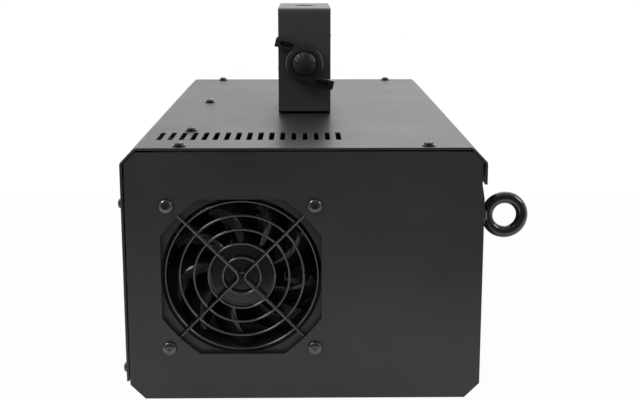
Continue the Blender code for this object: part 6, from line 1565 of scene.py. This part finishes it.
# ==== Mains inlet ============================================================================
# A standard three-pin inlet held by two small screws, with a drawer beside it for the fuse.
inlet_low, inlet_high = reach("mains_inlet")
INLET = spot("mains_inlet")
SOCKET_INSET = 0.005 + 0.012
SOCKET_Y = inlet_low.y + SOCKET_INSET
DRAWER = spot("fuse_drawer")
drawer_low, drawer_high = reach("fuse_drawer")
SOCKET_LENGTH, SOCKET_HEIGHT, SOCKET_BEVEL, SOCKET_FLOOR = 0.024, 0.016, 0.005, 0.004
INLET_CORNER, INLET_BACK_CORNER, INLET_SHRINK = 0.002, 0.001, 0.0066
inlet = link_mesh("inlet_case", faceplate("mains_inlet", INLET_CORNER, inlet_high.x - BEZEL,
                                          inlet_high.x))
carve(inlet, [faceplate("mains_inlet", INLET_BACK_CORNER, inlet_low.x, inlet_high.x - BEZEL / 2,
                        INLET_SHRINK)], "UNION")
half_y, half_z = SOCKET_LENGTH / 2, SOCKET_HEIGHT / 2
outline = [Vector((SOCKET_Y, INLET.z)) + Vector(corner) for corner in
           ((-half_y, -half_z), (half_y, -half_z), (half_y, half_z - SOCKET_BEVEL),
            (half_y - SOCKET_BEVEL, half_z), (SOCKET_BEVEL - half_y, half_z),
            (-half_y, half_z - SOCKET_BEVEL))]
bay = slab((drawer_low.x - SEAT, drawer_low.y - SEAT, drawer_low.z - SEAT),
           (inlet_high.x + BEZEL, drawer_high.y + SEAT, drawer_high.z + SEAT))
socket_floor = inlet_low.x + SOCKET_FLOOR
carve(inlet, [prism("X", outline, socket_floor, inlet_high.x + BEZEL), bay])
plant(inlet, matt_plastic, replaces=["mains_inlet"], edge=SOFT_EDGE)
BLADE_PIN_Y, BLADE_PIN_Z, BLADE_PIN_LENGTH, BLADE_PIN_ROUND = 0.001, 0.002, 0.015, 0.0004
PIN_PLACES = [(-0.007, -0.0015), (0, 0.0025), (0.007, -0.0015)]
pins = [slab((socket_floor - FLUSH, SOCKET_Y + y - BLADE_PIN_Y, INLET.z + z - BLADE_PIN_Z),
             (socket_floor + BLADE_PIN_LENGTH, SOCKET_Y + y + BLADE_PIN_Y,
              INLET.z + z + BLADE_PIN_Z), BLADE_PIN_ROUND) for y, z in PIN_PLACES]
plant(link_mesh("mains_pins", gathered(pins)), zinc)
drawer = link_mesh("fuse_tray", slab(drawer_low, drawer_high, 0.0003))
NOTCH, NOTCH_DEPTH = 0.0025, 0.0012
carve(drawer, [slab((drawer_high.x - NOTCH_DEPTH, DRAWER.y - NOTCH, drawer_high.z - NOTCH),
                    (drawer_high.x + PAST, DRAWER.y + NOTCH, drawer_high.z + PAST))])
plant(drawer, matt_plastic, "fuse_drawer", ["fuse_drawer"])
FLANGE_SCREW_INSET = 0.0026
screw_set("inlet_screws", small_pattern, "+X",
          [((inlet_high.x + SEAT / 6, y, INLET.z), 60 * y)
           for y in (inlet_low.y + FLANGE_SCREW_INSET, inlet_high.y - FLANGE_SCREW_INSET)])


# ==== Signal sockets =========================================================================
# Two round three-pin sockets pass the control signal in and out. Each has a moulded shell, pins
# on its floor, and two screws at opposite corners.
BORE, SHELL, SIGNAL_DEPTH = 0.0092, 0.0115, 0.014
PIN_CIRCLE, PIN_RADIUS, PIN_RECESS = 0.0048, 0.0012, 0.006
SOCKET_SCREW_INSET = 0.0030
for name in ("signal_in", "signal_out"):
    node = name + "_socket"
    low, high = reach(node)
    middle = spot(node).yz
    shell = link_mesh(name + "_shell", faceplate(node, 0.003, high.x - BEZEL, high.x))
    carve(shell, [lathe("X", middle, [(low.x, 0), (low.x, SHELL), (high.x - BEZEL / 2, SHELL),
                                      (high.x - BEZEL / 2, 0)], 72)], "UNION")
    floor_x = high.x - SIGNAL_DEPTH
    carve(shell, [lathe("X", middle, [(floor_x, 0), (floor_x, BORE), (high.x - 0.0006, BORE),
                                      (high.x + 0.0006, BORE + 0.0012), (high.x + 0.0006, 0)], 72)])
    plant(shell, matt_plastic, replaces=[node], edge=0.0002)
    pins = []
    for turn in (90, 210, 330):
        angle = math.radians(turn)
        place = middle + PIN_CIRCLE * Vector((math.cos(angle), math.sin(angle)))
        tip = high.x - PIN_RECESS
        pins.append(lathe("X", place, [(floor_x - FLUSH, 0), (floor_x - FLUSH, PIN_RADIUS),
                                       (tip - 0.0006, PIN_RADIUS),
                                       (tip, PIN_RADIUS - 0.0006), (tip, 0)], 24))
    plant(link_mesh(name + "_pins", gathered(pins)), zinc)
    screw_set(name + "_screws", small_pattern, "+X",
              [((high.x + SEAT / 6, y, z), 40 * y)
               for y, z in inset_corners(low, high, SOCKET_SCREW_INSET)[1:3]])


# ==== Level window ===========================================================================
# A strip of clear acrylic, set into the wall from inside, shows how full the tank is.
clear = finish("clear_acrylic", "#EEF2F2", "#E2E8E8", 3.0, 20, 0.07, 0.02, 0.002,
               Transmission_Weight=0.9, IOR=1.49)
low, high = reach("level_window")
LEVEL_SHEET, LEVEL_RIM = 0.0015, 0.003
level = link_mesh("level_strip", slab(low, (low.x + LEVEL_SHEET, high.y, high.z)))
step_in = LEVEL_RIM + SEAT
carve(level, [slab((low.x + FINE_EDGE, low.y + step_in, low.z + step_in),
                   (high.x, high.y - step_in, high.z - step_in))], "UNION")
plant(level, clear, replaces=["level_window"], edge=FINE_EDGE)


# ==== Clamp bolts and nuts ===================================================================
# Zinc-plated hexagon bolts ride in the slots of the ears, with their threads in the knobs, and
# a hexagon nut holds the eye bolt. The threads are cut as plain grooves.
THREAD_PITCH, THREAD_DEPTH, STUD = 0.0008, 0.00035, 0.003
HEX_CHAMFER = 0.0006


def hexagon(axis, centre, radius, start, end):
    """Hexagon bar whose corners are chamfered at both ends."""
    item = link_mesh("hexagon", bar(axis, centre, radius, start, end, 6))
    low, high = min(start, end), max(start, end)
    flat = radius * math.cos(math.pi / 6)
    turned = lathe(axis, centre, [(low, 0), (low, flat), (low + HEX_CHAMFER, radius),
                                  (high - HEX_CHAMFER, radius), (high, flat), (high, 0)], 72)
    return carve(item, [turned], "INTERSECT")


def thread(start, end, radius):
    """Profile of a threaded shank, from one end to the other."""
    turns = int(abs(end - start) / THREAD_PITCH)
    step = (end - start) / turns
    points = [(start, 0)]
    for number in range(turns):
        points += [(start + number * step, radius - THREAD_DEPTH),
                   (start + (number + 0.5) * step, radius)]
    return points + [(end, radius - THREAD_DEPTH), (end, 0)]


HEAD_RADIUS, HEAD_HEIGHT = 0.0062, 0.005
for name, side in (("near", -1), ("far", 1)):
    low, high = reach("clamp_bolt_" + name)
    tip, back = (low.y, high.y) if side < 0 else (high.y, low.y)
    face = back + side * HEAD_HEIGHT
    bolt = hexagon("Y", PIVOT.xz, HEAD_RADIUS, back, face)
    bolt.name = "t_bolt_" + name
    carve(bolt, [lathe("Y", PIVOT.xz, thread((back + face) / 2, tip, STUD), 40)], "UNION")
    plant(bolt, zinc, "yoke_clamp", ["clamp_bolt_" + name])
nut_low, nut_high = reach("eye_bolt_nut")
EYE_NUT_RADIUS = 0.0072
nut = hexagon("X", EYE.yz, EYE_NUT_RADIUS, nut_low.x, nut_high.x)
nut.name = "eye_nut"
carve(nut, [bar("X", EYE.yz, EYE_SHANK + SEAT, nut_low.x - SHEET, nut_high.x + SHEET, 40)])
plant(nut, zinc, replaces=["eye_bolt_nut"])


# ==== The frame's own pieces =================================================================
# Folded brackets, the shield and the pump's moving parts keep their CAD shape and only take
# their finish here.
# Mill-finished aluminium sheet, with the roller's fine lines along its length.
rolled = finish("rolled_aluminium", "#C4C6C8", "#ABAEB1", 0.5, 20, 0.30, 0.05, 0.01, 1.0,
                stretch=(1, 0.05, 1))
OWN_SHAPES = {zinc: ["heater_cradle", "pump_plunger", "pump_spring", "pump_bracket"],
              rolled: ["heat_shield"]}
for material, nodes in OWN_SHAPES.items():
    for node in nodes:
        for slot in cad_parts[node].material_slots:
            slot.material = material
